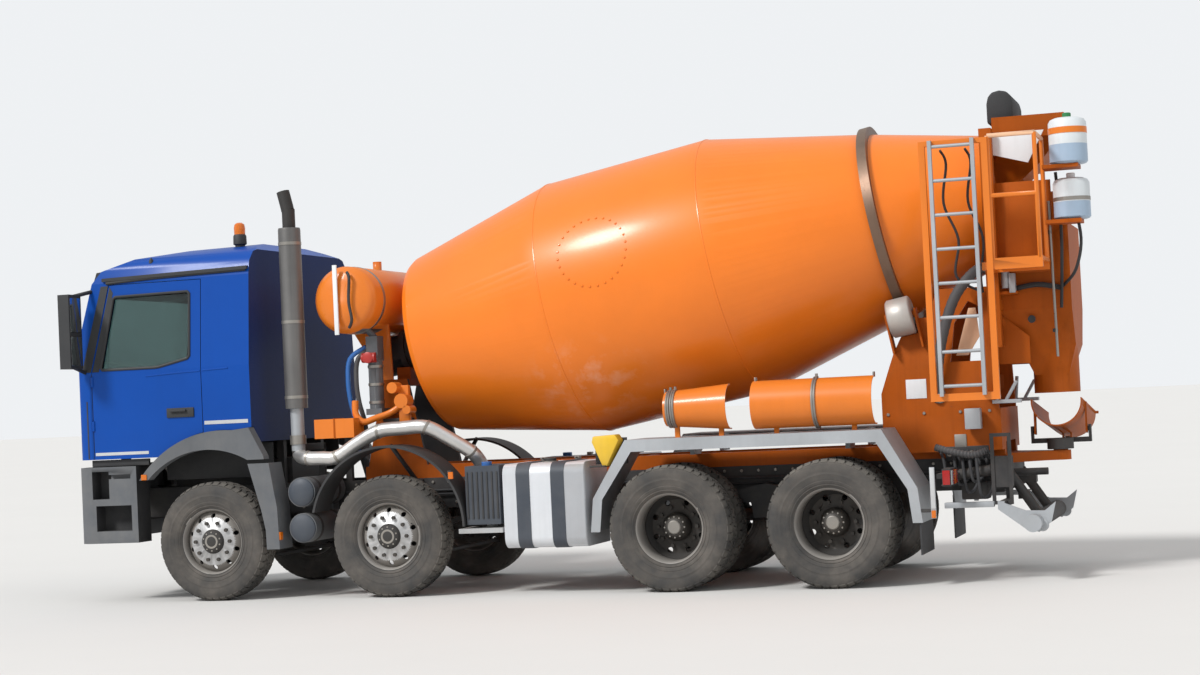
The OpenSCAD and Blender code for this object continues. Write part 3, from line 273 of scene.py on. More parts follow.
@dataclass(frozen=True)
class Finish(Surface):
    """A painted, moulded or metal surface with dust, streaks and wear."""

    roughness: float = 0.4
    metallic: float = 0.0
    coat: float = 0.0
    patches: float = 0.12
    dust: float = 0.25
    dust_colour: Colour = (0.36, 0.32, 0.27)
    dust_top: float = 1.9
    streaks: float = 0.1
    chips: float = 0.0
    chip_colour: Colour = (0.12, 0.06, 0.03)
    grain: float = 90.0
    bump: float = 0.08
    gloss: float = 0.5

    def build(self) -> bpy.types.Material:
        """Makes the shader nodes.

        Returns:
            The new material.
        """
        g = Graph(self.name)
        dark = tuple(c * (1.0 - 1.6 * self.patches) for c in self.colour)
        colour = g.mix(g.ramp(g.noise(1.3, 5.0), 0.35, 0.65), self.colour, dark)
        streak = g.ramp(g.noise(1.0, 3.0, (17.0, 17.0, 0.8)), 0.5, 0.72, 0.0, self.streaks)
        colour = g.mix(streak, colour, tuple(c * 0.45 for c in self.colour))
        colour = self.pattern(g, colour)
        if self.chips > 0:
            spots = g.ramp(g.noise(34.0, 6.0), 0.74 - 0.12 * self.chips, 0.77 - 0.12 * self.chips)
            spots = g.math("MULTIPLY", spots, g.ramp(g.noise(2.1, 2.0), 0.42, 0.6))
            colour = g.mix(spots, colour, self.chip_colour)
        height = g.add("ShaderNodeSeparateXYZ", {0: g.coords}).outputs[2]
        low = g.ramp(height, 0.25, self.dust_top, 1.0, 0.22)
        facing = g.add("ShaderNodeSeparateXYZ", {0: g.place.outputs["Normal"]}).outputs[2]
        lying = g.ramp(facing, 0.35, 1.0, 0.0, 0.5)
        cloud = g.ramp(g.noise(3.4, 9.0), 0.36, 0.74)
        share = g.math("MULTIPLY", g.math("ADD", g.math("MULTIPLY", cloud, low), lying), self.dust)
        colour = g.mix(share, colour, self.dust_colour)
        fine = g.noise(self.grain, 5.0)
        rough = g.math("ADD", g.ramp(fine, 0.3, 0.7, self.roughness - 0.04, self.roughness + 0.06),
                       g.math("MULTIPLY", share, 0.7))
        raised = self.relief(g, fine)
        relief = g.add("ShaderNodeBump", {"Strength": self.bump, "Distance": 0.002, "Height": raised})
        return g.principled({
            "Base Color": colour, "Roughness": rough, "Metallic": self.metallic, "Coat Weight": self.coat,
            "Coat Roughness": 0.16, "Specular IOR Level": self.gloss, "Normal": relief.outputs[0]})

    def pattern(self, g: Graph, colour: bpy.types.NodeSocket) -> bpy.types.NodeSocket:
        """Leaves the colour as it is."""
        return colour

    def relief(self, g: Graph, fine: bpy.types.NodeSocket) -> bpy.types.NodeSocket:
        """Uses the fine grain alone as relief."""
        return fine


@dataclass(frozen=True)
class SmudgedPaint(Finish):
    """Drum paint with a pale smudge low on one side."""

    centre: Point = (0.36, -1.05, 1.5)
    reach: float = 0.75
    smudge: Colour = (0.85, 0.62, 0.48)

    def pattern(self, g: Graph, colour: bpy.types.NodeSocket) -> bpy.types.NodeSocket:
        """Lays a broken pale film round a point.

        Args:
            g: The material's graph.
            colour: The paint's colour.

        Returns:
            The new colour.
        """
        away = g.add("ShaderNodeVectorMath", {0: g.coords, 1: self.centre}, operation="DISTANCE").outputs[1]
        near = g.ramp(away, self.reach * 0.15, self.reach, 0.4, 0.0)
        film = g.ramp(g.noise(4.6, 7.0), 0.5, 0.66)
        return g.mix(g.math("MULTIPLY", near, film), colour, self.smudge)


@dataclass(frozen=True)
class WrappedFoil(Finish):
    """Crumpled silver wrapping around hot pipes."""

    def relief(self, g: Graph, fine: bpy.types.NodeSocket) -> bpy.types.NodeSocket:
        """Creases from cells, with the fine grain on top.

        Args:
            g: The material's graph.
            fine: The fine grain.

        Returns:
            The relief value.
        """
        cells = g.add("ShaderNodeTexVoronoi", {"Vector": g.coords, "Scale": 26.0}, feature="F1")
        return g.add("ShaderNodeMath", {0: cells.outputs[0], 1: fine}, operation="ADD").outputs[0]


@dataclass(frozen=True)
class CheckerPlate(Finish):
    """Tread plate with raised bars."""

    def relief(self, g: Graph, fine: bpy.types.NodeSocket) -> bpy.types.NodeSocket:
        """Crossed raised bars.

        Args:
            g: The material's graph.
            fine: The fine grain, not used.

        Returns:
            The relief value.
        """
        waves = []
        for turn in (0.785, -0.785):
            turned = g.add("ShaderNodeMapping", {"Vector": g.coords, "Rotation": (0.0, 0.0, turn)}).outputs[0]
            waves.append(g.add("ShaderNodeTexWave", {"Vector": turned, "Scale": 14.0}).outputs[1])
        return g.math("GREATER_THAN", g.math("MULTIPLY", waves[0], waves[1]), 0.35)


@dataclass(frozen=True)
class Glazing(Surface):
    """Clear or tinted glass and lamp lenses."""

    roughness: float = 0.03
    transmission: float = 1.0
    ribs: float = 0.0

    def build(self) -> bpy.types.Material:
        """Makes the shader nodes.

        Returns:
            The new material.
        """
        g = Graph(self.name)
        film = g.ramp(g.noise(5.0, 6.0), 0.45, 0.8, self.roughness, self.roughness + 0.12)
        shade = tuple(c * 0.92 for c in self.colour)
        colour = g.mix(g.ramp(g.noise(2.0, 3.0), 0.4, 0.7), self.colour, shade)
        ridge = g.add("ShaderNodeTexWave", {"Vector": g.coords, "Scale": 40.0}).outputs[1]
        relief = g.add("ShaderNodeBump", {"Strength": self.ribs, "Distance": 0.002, "Height": ridge})
        return g.principled({
            "Base Color": colour, "Roughness": film, "Transmission Weight": self.transmission, "IOR": 1.45,
            "Coat Weight": 0.3, "Normal": relief.outputs[0]})


ORANGE = Finish("orange_paint", "orange_paint", (0.74, 0.19, 0.016), 0.36, coat=0.25, patches=0.06,
                dust=0.1, streaks=0.05, bump=0.03, gloss=0.3, dust_colour=(0.5, 0.28, 0.14))
DRUM_ORANGE = SmudgedPaint("drum_paint", "orange_paint", (0.84, 0.195, 0.01), 0.36, coat=0.22,
                           patches=0.05, dust=0.07, streaks=0.0, bump=0.03, gloss=0.35,
                           dust_colour=(0.55, 0.28, 0.12), dust_top=2.2)
# Orange at about half brightness: real chips, streaks and wear, and painted shade on the parts that sit in
# shade under the drum, in the mouth and at the rear.
WORN_AND_SHADED_ORANGE = Finish("worn_and_shaded_orange_paint", "orange_paint", (0.43, 0.088, 0.004), 0.5, coat=0.0,
                     patches=0.14, dust=0.08, gloss=0.14, streaks=0.22, chips=0.5, bump=0.06,
                     dust_colour=(0.32, 0.22, 0.15), dust_top=2.6)
BLUE = Finish("blue_paint", "blue_paint", (0.002, 0.062, 0.34), 0.36, coat=0.1, patches=0.05, dust=0.02,
              gloss=0.15, streaks=0.04, bump=0.02, dust_colour=(0.16, 0.2, 0.3))
# Cab blue darkened as painted shade for the cab's back wall, which sits in shade.
SHADED_BLUE = Finish("shaded_blue_paint", "blue_paint", (0.003, 0.018, 0.11), 0.42, coat=0.03, dust=0.0,
              gloss=0.08)
BLACK = Finish("black_frame_paint", "dark_paint", (0.022, 0.022, 0.024), 0.55, patches=0.2, dust=0.55,
               streaks=0.1, chips=0.3, dust_colour=(0.17, 0.15, 0.13), dust_top=1.4)
DARK_TRIM = Finish("dark_trim", "inside_plastic", (0.025, 0.026, 0.028), 0.6, dust=0.3,
                   dust_colour=(0.16, 0.15, 0.14))
GREY_PLASTIC = Finish("grey_plastic", "grey_plastic", (0.105, 0.112, 0.122), 0.55, dust=0.35, patches=0.1,
                      dust_colour=(0.3, 0.28, 0.25), grain=420.0, bump=0.12)
STEEL = Finish("bare_steel", "bare_steel", (0.36, 0.34, 0.31), 0.42, metallic=0.85, dust=0.5, chips=0.6,
               chip_colour=(0.16, 0.07, 0.03))
RING_STEEL = Finish("ring_steel", "ring_steel", (0.2, 0.125, 0.085), 0.4, metallic=0.7, dust=0.35,
                    streaks=0.3, chips=0.6, chip_colour=(0.1, 0.05, 0.03))
ROLLER_STEEL = Finish("roller_steel", "bare_steel", (0.55, 0.52, 0.48), 0.45, metallic=0.5, dust=0.5,
                      dust_colour=(0.5, 0.48, 0.45), dust_top=4.0)
ALLOY = Finish("polished_alloy", "polished_alloy", (0.72, 0.74, 0.77), 0.42, metallic=0.25, dust=0.2,
               patches=0.08, dust_colour=(0.5, 0.48, 0.45))
RIM_ALLOY = Finish("wheel_alloy", "polished_alloy", (0.62, 0.62, 0.62), 0.38, metallic=0.55, dust=0.3,
                   patches=0.15, dust_colour=(0.33, 0.3, 0.27), dust_top=3.0)
# Mid grey: the real lip colour of the rear rims, and painted shade on the recessed outer dish of the front
# rims.
RIM_LIP_AND_SHADE = Finish("rim_lip_and_shade", "wheel_paint", (0.3, 0.28, 0.26), 0.5, metallic=0.3, dust=0.5, dust_top=3.0,
                 dust_colour=(0.25, 0.23, 0.2))
RIM_DARK = Finish("rim_dark", "wheel_paint", (0.028, 0.027, 0.026), 0.6, dust=0.4, dust_top=3.0,
                  dust_colour=(0.08, 0.07, 0.06))
DULL_ALLOY = Finish("dull_alloy", "dull_alloy", (0.43, 0.45, 0.47), 0.48, metallic=0.4, dust=0.35,
                    dust_colour=(0.33, 0.32, 0.3))
STACK = Finish("stack_steel", "dark_paint", (0.17, 0.165, 0.16), 0.42, metallic=0.6, dust=0.2,
               streaks=0.35, dust_colour=(0.3, 0.28, 0.26), dust_top=4.0)
SOOT = Finish("sooty_steel", "dark_paint", (0.035, 0.033, 0.032), 0.6, metallic=0.3, dust=0.15)
FOIL = WrappedFoil("wrapped_foil", "polished_alloy", (0.7, 0.69, 0.67), 0.33, metallic=0.85, dust=0.3,
                   bump=0.55, dust_colour=(0.45, 0.42, 0.38))
TREAD_PLATE = CheckerPlate("tread_plate", "polished_alloy", (0.55, 0.56, 0.57), 0.4, metallic=0.7,
                           dust=0.5, bump=0.7)
SIDEWALL = Finish("sidewall_rubber", "tyre_rubber", (0.052, 0.05, 0.048), 0.75, dust=0.85, patches=0.2,
                  dust_colour=(0.17, 0.15, 0.13), dust_top=3.5, grain=160.0, bump=0.15)
TREAD = Finish("tread_rubber", "tyre_rubber", (0.04, 0.039, 0.038), 0.85, dust=0.9, patches=0.2,
               dust_colour=(0.2, 0.18, 0.155), dust_top=3.5, grain=120.0, bump=0.25)
DARK_STEEL = Finish("dark_steel", "wheel_paint", (0.06, 0.055, 0.05), 0.5, metallic=0.4, dust=0.35,
                    dust_colour=(0.12, 0.1, 0.08), dust_top=3.0)
SLATE = Finish("slate_plastic", "grey_plastic", (0.045, 0.055, 0.072), 0.5, dust=0.3,
               dust_colour=(0.16, 0.16, 0.16))
RUBBER = Finish("black_rubber", "inside_plastic", (0.02, 0.02, 0.021), 0.62, dust=0.35,
                dust_colour=(0.14, 0.14, 0.15), dust_top=4.5)
HOSE = Finish("grey_hose", "inside_plastic", (0.06, 0.058, 0.06), 0.6, dust=0.4, dust_top=3.0,
              dust_colour=(0.2, 0.18, 0.17))
BLUE_HOSE = Finish("blue_hose", "blue_paint", (0.02, 0.13, 0.42), 0.4, dust=0.2)
RED_PAINT = Finish("red_paint", "lamp_plastic", (0.45, 0.02, 0.015), 0.4, dust=0.25)
WHITE = Finish("white_plate", "canister_plastic", (0.78, 0.79, 0.8), 0.4, coat=0.2, dust=0.2, patches=0.04,
               dust_top=4.5)
CANISTER = Finish("canister_plastic", "canister_plastic", (0.7, 0.74, 0.76), 0.42, dust=0.25, patches=0.08,
                  dust_colour=(0.6, 0.58, 0.52), dust_top=4.5)
LIQUID = Finish("canister_filled", "canister_plastic", (0.36, 0.47, 0.6), 0.36, dust=0.15, patches=0.08)
GREEN = Finish("green_cap", "canister_plastic", (0.02, 0.22, 0.07), 0.4, dust=0.1)
PALE_ORANGE = Finish("pale_orange_paint", "orange_paint", (0.84, 0.5, 0.3), 0.5, dust=0.3, dust_top=3.0)
YELLOW = Finish("yellow_paint", "orange_paint", (0.8, 0.5, 0.02), 0.42, dust=0.25)
REFLECTIVE = Finish("reflective_strip", "canister_plastic", (0.62, 0.63, 0.64), 0.35, metallic=0.3,
                    dust=0.25)
SEAT = Finish("seat_fabric", "inside_plastic", (0.045, 0.047, 0.055), 0.9, dust=0.1, grain=700.0, bump=0.4)
GLASS = Glazing("cab_glass", "cab_glass", (0.24, 0.34, 0.33))
CLEAR_LENS = Glazing("clear_lens", "lamp_plastic", (0.85, 0.87, 0.88), ribs=0.4, transmission=0.6)
RED_LENS = Glazing("red_lens", "lamp_plastic", (0.5, 0.012, 0.01), 0.12, 0.25, 0.5)
AMBER_LENS = Glazing("amber_lens", "lamp_plastic", (0.85, 0.2, 0.01), 0.12, 0.25, 0.5)
MIRROR = Finish("mirror_glass", "cab_glass", (0.75, 0.77, 0.78), 0.06, metallic=1.0, dust=0.05, bump=0.0)


class Repeater:
    """Repeats a part in a row or round a ring with geometry nodes."""

    trees: dict[Layout, bpy.types.NodeTree] = {}

    @classmethod
    def tree(cls, layout: Layout) -> bpy.types.NodeTree:
        """The node tree of a layout, made once.

        Args:
            layout: Row or ring.

        Returns:
            The tree with its named inputs.
        """
        if layout in cls.trees:
            return cls.trees[layout]
        tree = bpy.data.node_groups.new(f"repeat_in_{layout.value}", "GeometryNodeTree")
        sockets = (("Part", "NodeSocketGeometry"), ("Count", "NodeSocketInt"), ("Step", "NodeSocketVector"),
                   ("Wobble", "NodeSocketFloat"), ("Seed", "NodeSocketInt"), ("Finish", "NodeSocketMaterial"))
        for name, kind in sockets:
            tree.interface.new_socket(name, in_out="INPUT", socket_type=kind)
        tree.interface.new_socket("Parts", in_out="OUTPUT", socket_type="NodeSocketGeometry")
        n = Nodes(tree)
        given = n.add("NodeGroupInput").outputs
        least = n.add("ShaderNodeMath", {0: 1.0, 1: given["Wobble"]}, operation="SUBTRACT").outputs[0]
        size = n.add("FunctionNodeRandomValue", data_type="FLOAT")
        tree.links.new(least, size.inputs[2])
        size.inputs[3].default_value = 1.0
        tree.links.new(given["Seed"], size.inputs["Seed"])
        if layout is Layout.ROW:
            offset, own = given["Step"], {"Scale": size.outputs[1]}
        else:
            index = n.add("GeometryNodeInputIndex").outputs[0]
            turn = n.add("ShaderNodeVectorMath", {0: given["Step"], "Scale": index}, operation="SCALE")
            angles = n.add("FunctionNodeEulerToRotation", {0: turn.outputs[0]})
            offset, own = (0.0, 0.0, 0.0), {"Rotation": angles.outputs[0]}
        line = n.add("GeometryNodeMeshLine", {"Count": given["Count"], "Offset": offset}).outputs[0]
        spots = n.add("GeometryNodeInstanceOnPoints", {"Points": line, "Instance": given["Part"], **own})
        real = n.add("GeometryNodeRealizeInstances", {0: spots.outputs[0]})
        dress = n.add("GeometryNodeSetMaterial", {0: real.outputs[0], "Material": given["Finish"]})
        n.add("NodeGroupOutput", {0: dress.outputs[0]})
        cls.trees[layout] = tree
        return tree

    @classmethod
    def run(cls, part: "Build", layout: Layout, count: int, step: Point, finish: Surface,
            wobble: float = 0.0, seed: int = 7) -> bpy.types.Mesh:
        """Repeats a part and returns the result as a plain mesh.

        Args:
            part: The shape to repeat.
            layout: Row or ring.
            count: Number of parts.
            step: Offset in metres, or turn in radians about each axis, from one part to the next.
            finish: The surface of the parts.
            wobble: Largest share by which a part is smaller than the first.
            seed: Seed of the wobble.

        Returns:
            A mesh with every part in it.
        """
        mesh = bpy.data.meshes.new("part")
        part.bm.to_mesh(mesh)
        carrier = placed("part_carrier", mesh)
        modifier = carrier.modifiers.new("repeat", "NODES")
        modifier.node_group = cls.tree(layout)
        values = {"Count": count, "Step": tuple(step), "Wobble": wobble, "Seed": seed,
                  "Finish": finish.material()}
        for item in modifier.node_group.interface.items_tree:
            if item.name in values and item.in_out == "INPUT":
                modifier[item.identifier] = values[item.name]
        graph = bpy.context.evaluated_depsgraph_get()
        made = bpy.data.meshes.new_from_object(carrier.evaluated_get(graph), depsgraph=graph)
        bpy.data.objects.remove(carrier)
        bpy.data.meshes.remove(mesh)
        return made


class Build:
    """Collects shapes with their finishes into one mesh."""

    def __init__(self, name: str = "part", start_x: float = 0.0, side: int = 1) -> None:
        """Starts an empty mesh.

        Args:
            name: The piece's name.
            start_x: Where distances along the truck start.
            side: -1 where distances across the truck count to the left, 1 for the right.
        """
        self.name = name
        self.start_x = start_x
        self.side = side
        self.bm = bmesh.new()
        self.finishes: list[Surface] = []

    def sides(self) -> Iterator[int]:
        """Goes through left and then right, and counts distances across the truck to that side."""
        for self.side in SIDES:
            yield self.side

    def spot(self, p: Point) -> Vector:
        """A given point in the part's frame."""
        return Vector((self.start_x + p[0], self.side * p[1], p[2]))

    def aimed(self, axis: Point) -> Vector:
        """A given direction in the part's frame."""
        return Vector((axis[0], self.side * axis[1], axis[2]))

    def dress(self, faces: Iterable[bmesh.types.BMFace], finish: Surface) -> None:
        """Gives faces a finish.

        Args:
            faces: The faces.
            finish: The surface.
        """
        if finish not in self.finishes:
            self.finishes.append(finish)
        index = self.finishes.index(finish)
        for face in faces:
            face.material_index = index

    def solid(self, verts: Sequence[Point], faces: Sequence[Sequence[int]], finish: Surface,
              soft: float = 0.0) -> None:
        """Adds a closed solid from its corners.

        Args:
            verts: Corners in the part's frame.
            faces: Corner numbers of each face.
            finish: The surface.
            soft: Width of the bevel on its sharp edges.
        """
        part = bmesh.new()
        made = [part.verts.new(v) for v in verts]
        for face in faces:
            part.faces.new([made[i] for i in face])
        bmesh.ops.recalc_face_normals(part, faces=part.faces)
        if soft > 0:
            edges = [e for e in part.edges if len(e.link_faces) == 2 and e.calc_face_angle() > 0.5]
            bmesh.ops.bevel(part, geom=edges, offset=soft, segments=2, profile=0.6, affect="EDGES")
        self.take(as_mesh(part), finish)

    def take(self, mesh: bpy.types.Mesh, finish: Surface, place: Matrix | None = None) -> None:
        """Adds a finished mesh and removes it from the file.

        Args:
            mesh: The mesh to add.
            finish: The surface.
            place: Where it goes.
        """
        if place is not None:
            mesh.transform(place)
        known = len(self.bm.faces)
        self.bm.from_mesh(mesh)
        self.bm.faces.ensure_lookup_table()
        self.dress(self.bm.faces[known:], finish)
        bpy.data.meshes.remove(mesh)

    def box(self, low: Point, high: Point, finish: Surface, soft: float = 0.004) -> None:
        """Adds a box by two corners.

        Args:
            low: One corner.
            high: The opposite corner.
            finish: The surface.
            soft: Width of the bevel.
        """
        (x0, x1), (y0, y1), (z0, z1) = (sorted(p) for p in zip(self.spot(low), self.spot(high)))
        verts = [(x, y, z) for z in (z0, z1) for y in (y0, y1) for x in (x0, x1)]
        faces = ((0, 2, 3, 1), (4, 5, 7, 6), (0, 1, 5, 4), (2, 6, 7, 3), (0, 4, 6, 2), (1, 3, 7, 5))
        self.solid(verts, faces, finish, min(soft, 0.3 * min(x1 - x0, y1 - y0, z1 - z0)))

    def prism(self, outline: Sequence[Point], y0: float, y1: float, finish: Surface,
              soft: float = 0.003) -> None:
        """Adds a side profile in X and Z drawn from y0 to y1."""
        verts = [self.spot((x, y, z)) for y in (y0, y1) for x, z in outline]
        self.solid(verts, drawn_faces(len(outline)), finish, soft)

    def lathe(self, profile: Sequence[Point], centre: Point, axis: Point, finish: Surface, steps: int = 48,
              closed: bool = False) -> None:
        """Turns a profile about an axis.

        Args:
            profile: Distance along the axis and radius of each point.
            centre: Where the axis starts.
            axis: Direction of the axis.
            finish: The surface.
            steps: Number of facets round the axis.
            closed: True where the profile is a loop, false where its ends are closed by discs.
        """
        turn = turned_to(self.aimed(axis))
        part = bmesh.new()
        rings = []
        for along, radius in profile:
            if radius < 1e-6:
                rings.append([part.verts.new(turn @ Vector((0, 0, along)))])
                continue
            rings.append([part.verts.new(turn @ Vector((radius * math.cos(a), radius * math.sin(a), along)))
                          for a in (2 * math.pi * i / steps for i in range(steps))])
        pairs = list(zip(rings, rings[1:])) + ([(rings[-1], rings[0])] if closed else [])
        for a, b in pairs:
            for i in range(steps):
                j = (i + 1) % steps
                corners = [a[i % len(a)], a[j % len(a)], b[j % len(b)], b[i % len(b)]]
                part.faces.new(list(dict.fromkeys(corners)))
        if not closed:
            for ring in (rings[0], rings[-1]):
                if len(ring) > 1:
                    part.faces.new(ring)
        bmesh.ops.recalc_face_normals(part, faces=part.faces)
        self.take(as_mesh(part), finish, Matrix.Translation(self.spot(centre)))

    def collar(self, centre: Point, axis: Point, half: float, inner: float, outer: float, finish: Surface,
               steps: int = 48) -> None:
        """Adds a flat band round an axis, from its half width and its two radii."""
        loop = [(-half, inner), (-half, outer), (half, outer), (half, inner)]
        self.lathe(loop, centre, axis, finish, steps, closed=True)

    def cap(self, foot: Point, axis: Point, radius: float, height: float, edge: float, finish: Surface,
            steps: int = 24) -> None:
        """Adds a round cap with a chamfered edge, standing on its foot."""
        profile = [(0, radius), (height - edge, radius), (height, radius - edge), (height, 0.0)]
        self.lathe(profile, foot, axis, finish, steps)

    def bar(self, start: Point, end: Point, radius: float, finish: Surface, steps: int = 20,
            soft: float = 0.002) -> None:
        """Adds a round bar with chamfered ends between two points.

        Args:
            start: Middle of one end.
            end: Middle of the other end.
            radius: Radius of the bar.
            finish: The surface.
            steps: Number of facets.
            soft: Width of the chamfer.
        """
        length = (Vector(end) - Vector(start)).length
        soft = min(soft, radius * 0.4, length * 0.3)
        profile = [(0, radius - soft), (soft, radius), (length - soft, radius), (length, radius - soft)]
        self.lathe(profile, start, Vector(end) - Vector(start), finish, steps)

    def tube(self, points: Sequence[Point], radius: float, finish: Surface, sides: int = 12,
             curve: int = 6, ribs: float = 0.0) -> None:
        """Sweeps a round section along a smooth line through points.

        Args:
            points: Points of the line.
            radius: Radius of the section.
            finish: The surface.
            sides: Number of sides.
            curve: Steps between two points, 1 for straight runs.
            ribs: Depth of ribs on every second ring.
        """
        line = [self.spot(p) for p in points]
        path = []
        for i in range(len(line) - 1):
            p0, p1, p2, p3 = line[max(i - 1, 0)], line[i], line[i + 1], line[min(i + 2, len(line) - 1)]
            for t in (k / curve for k in range(curve)):
                path.append(0.5 * ((2 * p1) + (p2 - p0) * t + (2 * p0 - 5 * p1 + 4 * p2 - p3) * t * t
                                   + (3 * p1 - p0 - 3 * p2 + p3) * t ** 3) if curve > 1 else p1)
        path.append(line[-1])
        part = bmesh.new()
        rings, side = [], None
        for i, p in enumerate(path):
            ahead = (path[min(i + 1, len(path) - 1)] - path[max(i - 1, 0)]).normalized()
            side = ahead.orthogonal() if side is None else side - ahead * side.dot(ahead)
            side.normalize()
            other = ahead.cross(side)
            size = radius - (ribs if i % 2 else 0.0)
            rings.append([part.verts.new(p + (side * math.cos(a) + other * math.sin(a)) * size)
                          for a in (2 * math.pi * k / sides for k in range(sides))])
        skin_rings(part, rings)
        self.take(as_mesh(part), finish)

    def bolts(self, centre: Point, axis: Point, ring: float, count: int, finish: Surface, radius: float,
              height: float) -> None:
        """Adds a ring of hexagon bolt heads round an axis.

        Args:
            centre: Centre of the ring.
            axis: Direction in which the heads stand.
            ring: Radius of the ring.
            count: Number of bolts.
            finish: The surface.
            radius: Radius of a head.
            height: Height of a head.
        """
        head = Build()
        head.lathe([(-0.002, radius), (height * 0.8, radius), (height, radius * 0.8)],
                   (ring, 0, 0), UP, finish, 6)
        mesh = Repeater.run(head, Layout.RING, count, (0, 0, 2 * math.pi / count), finish)
        place = Matrix.Translation(self.spot(centre)) @ turned_to(self.aimed(axis)).to_4x4()
        self.take(mesh, finish, place)

    def row(self, part: "Build", count: int, step: Point, finish: Surface) -> None:
        """Adds a part repeated in a row."""
        self.take(Repeater.run(part, Layout.ROW, count, step, finish), finish)

    def done(self, body: str, *replaced: str, sharp: float = SMOOTH_ANGLE) -> bpy.types.Object:
        """Makes the piece, dresses it and puts it on its body.

        Args:
            body: The body that it rides on.
            *replaced: CAD nodes that it stands for.
            sharp: Angle from which an edge stays sharp.

        Returns:
            The new object.
        """
        mesh = as_mesh(self.bm)
        mesh.name = self.name
        for finish in self.finishes:
            mesh.materials.append(finish.material())
        mesh.shade_smooth()
        mesh.set_sharp_from_angle(angle=sharp)
        piece = placed(self.name, mesh)
        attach(piece, body)
        if replaced:
            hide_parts(*replaced)
        LOG.info("%s: %d faces on %s", self.name, len(mesh.polygons), body)
        return piece


@dataclass
class Zone:
    """A region of a node that has its own finish."""

    finish: Surface
    test: Callable[[Vector], bool]


@dataclass
class Refined:
    """A CAD node's own shape, merged, with several finishes."""

    node: str
    body: str
    finish: Surface
    zones: tuple[Zone, ...] = ()
    sharp: float = SMOOTH_ANGLE
    leave_out: Callable[[Vector], bool] | None = None

    def build(self) -> bpy.types.Object:
        """Makes the piece that stands for the node.

        Returns:
            The new object.
        """
        made = Build(f"{self.node}_dressed")
        bm = made.bm
        bm.from_mesh(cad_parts[self.node].data)
        bmesh.ops.remove_doubles(bm, verts=bm.verts, dist=2e-5)
        bmesh.ops.dissolve_limit(bm, angle_limit=0.004, verts=bm.verts, edges=bm.edges, delimit={"NORMAL"})
        if self.leave_out:
            out = [f for f in bm.faces if all(self.leave_out(v.co) for v in f.verts)]
            bmesh.ops.delete(bm, geom=out, context="FACES")
        made.dress(bm.faces, self.finish)
        for zone in self.zones:
            made.dress([f for f in bm.faces if zone.test(f.calc_center_median())], zone.finish)
        return made.done(self.body, self.node, sharp=self.sharp)


@dataclass
class Studio:
    """Camera, lamps, floor and sky."""

    place: Point = (6.0438, -18.6703, 1.6107)
    right: Point = (0.95234717, 0.30124738, -0.04780038)
    up: Point = (0.05442116, -0.01361914, 0.99842519)
    ahead: Point = (-0.30012197, 0.95344876, 0.02936438)
    focal_px: float = 2180.0
    image_width: float = 1200.0
    floor_half: float = 300.0
    suns: tuple[tuple[str, float, Point, float], ...] = (
        ("key", 2.6, (48, 0, -36), 12.0), ("fill", 0.22, (60, 0, 60), 40.0))
    sky_light: tuple[Point, float] = ((0.82, 0.86, 0.9, 1.0), 0.52)
    backdrop: tuple[Point, float] = ((0.86, 0.88, 0.9, 1.0), 1.0)
    backdrop_share: float = 0.5

    def camera(self) -> None:
        """Places the camera where the photograph was taken from."""
        data = bpy.data.cameras.new("camera")
        data.sensor_width = 36.0
        data.lens = self.focal_px / self.image_width * data.sensor_width
        data.clip_end = 1000.0
        camera = placed("camera", data)
        rows = zip(self.right, self.up, (-v for v in self.ahead))
        camera.matrix_world = Matrix.Translation(self.place) @ Matrix([list(r) for r in rows]).to_4x4()
        bpy.context.scene.camera = camera

    def lamps(self) -> None:
        """Adds the key and fill lights."""
        for name, power, turn, softness in self.suns:
            data = bpy.data.lights.new(name, "SUN")
            data.energy = power
            data.angle = math.radians(softness)
            placed(name, data).rotation_euler = [math.radians(a) for a in turn]

    def sky(self) -> None:
        """Makes a plain sky; the camera and glass see its backdrop whole, other light in part."""
        world = bpy.data.worlds.new("sky")
        world.use_nodes = True
        n = Nodes(world.node_tree)
        path = n.add("ShaderNodeLightPath").outputs
        seen = self.backdrop_share
        for name in ("Is Camera Ray", "Is Transmission Ray"):
            seen = n.add("ShaderNodeMath", {0: path[name], 1: seen}, operation="MAXIMUM").outputs[0]
        lights = [n.add("ShaderNodeBackground", {0: colour, 1: strength}).outputs[0]
                  for colour, strength in (self.sky_light, self.backdrop)]
        mix = n.add("ShaderNodeMixShader", {0: seen, 1: lights[0], 2: lights[1]})
        n.add("ShaderNodeOutputWorld", {0: mix.outputs[0]})
        bpy.context.scene.world = world

    def floor(self) -> None:
        """Lays the pale floor."""
        mesh = bpy.data.meshes.new("floor")
        h = self.floor_half
        mesh.from_pydata([(-h, -h, 0), (h, -h, 0), (h, h, 0), (-h, h, 0)], [], [(0, 1, 2, 3)])
        g = Graph("pale_floor")
        tone = g.mix(g.ramp(g.noise(0.35, 5.0), 0.3, 0.7), (0.7, 0.682, 0.655), (0.685, 0.668, 0.641))
        mesh.materials.append(g.principled({"Base Color": tone, "Roughness": 0.85}))
        placed("floor", mesh)

    def build(self) -> None:
        """Sets up the whole studio."""
        self.camera()
        self.lamps()
        self.sky()
        self.floor()
        bpy.context.scene.view_settings.view_transform = "Standard"


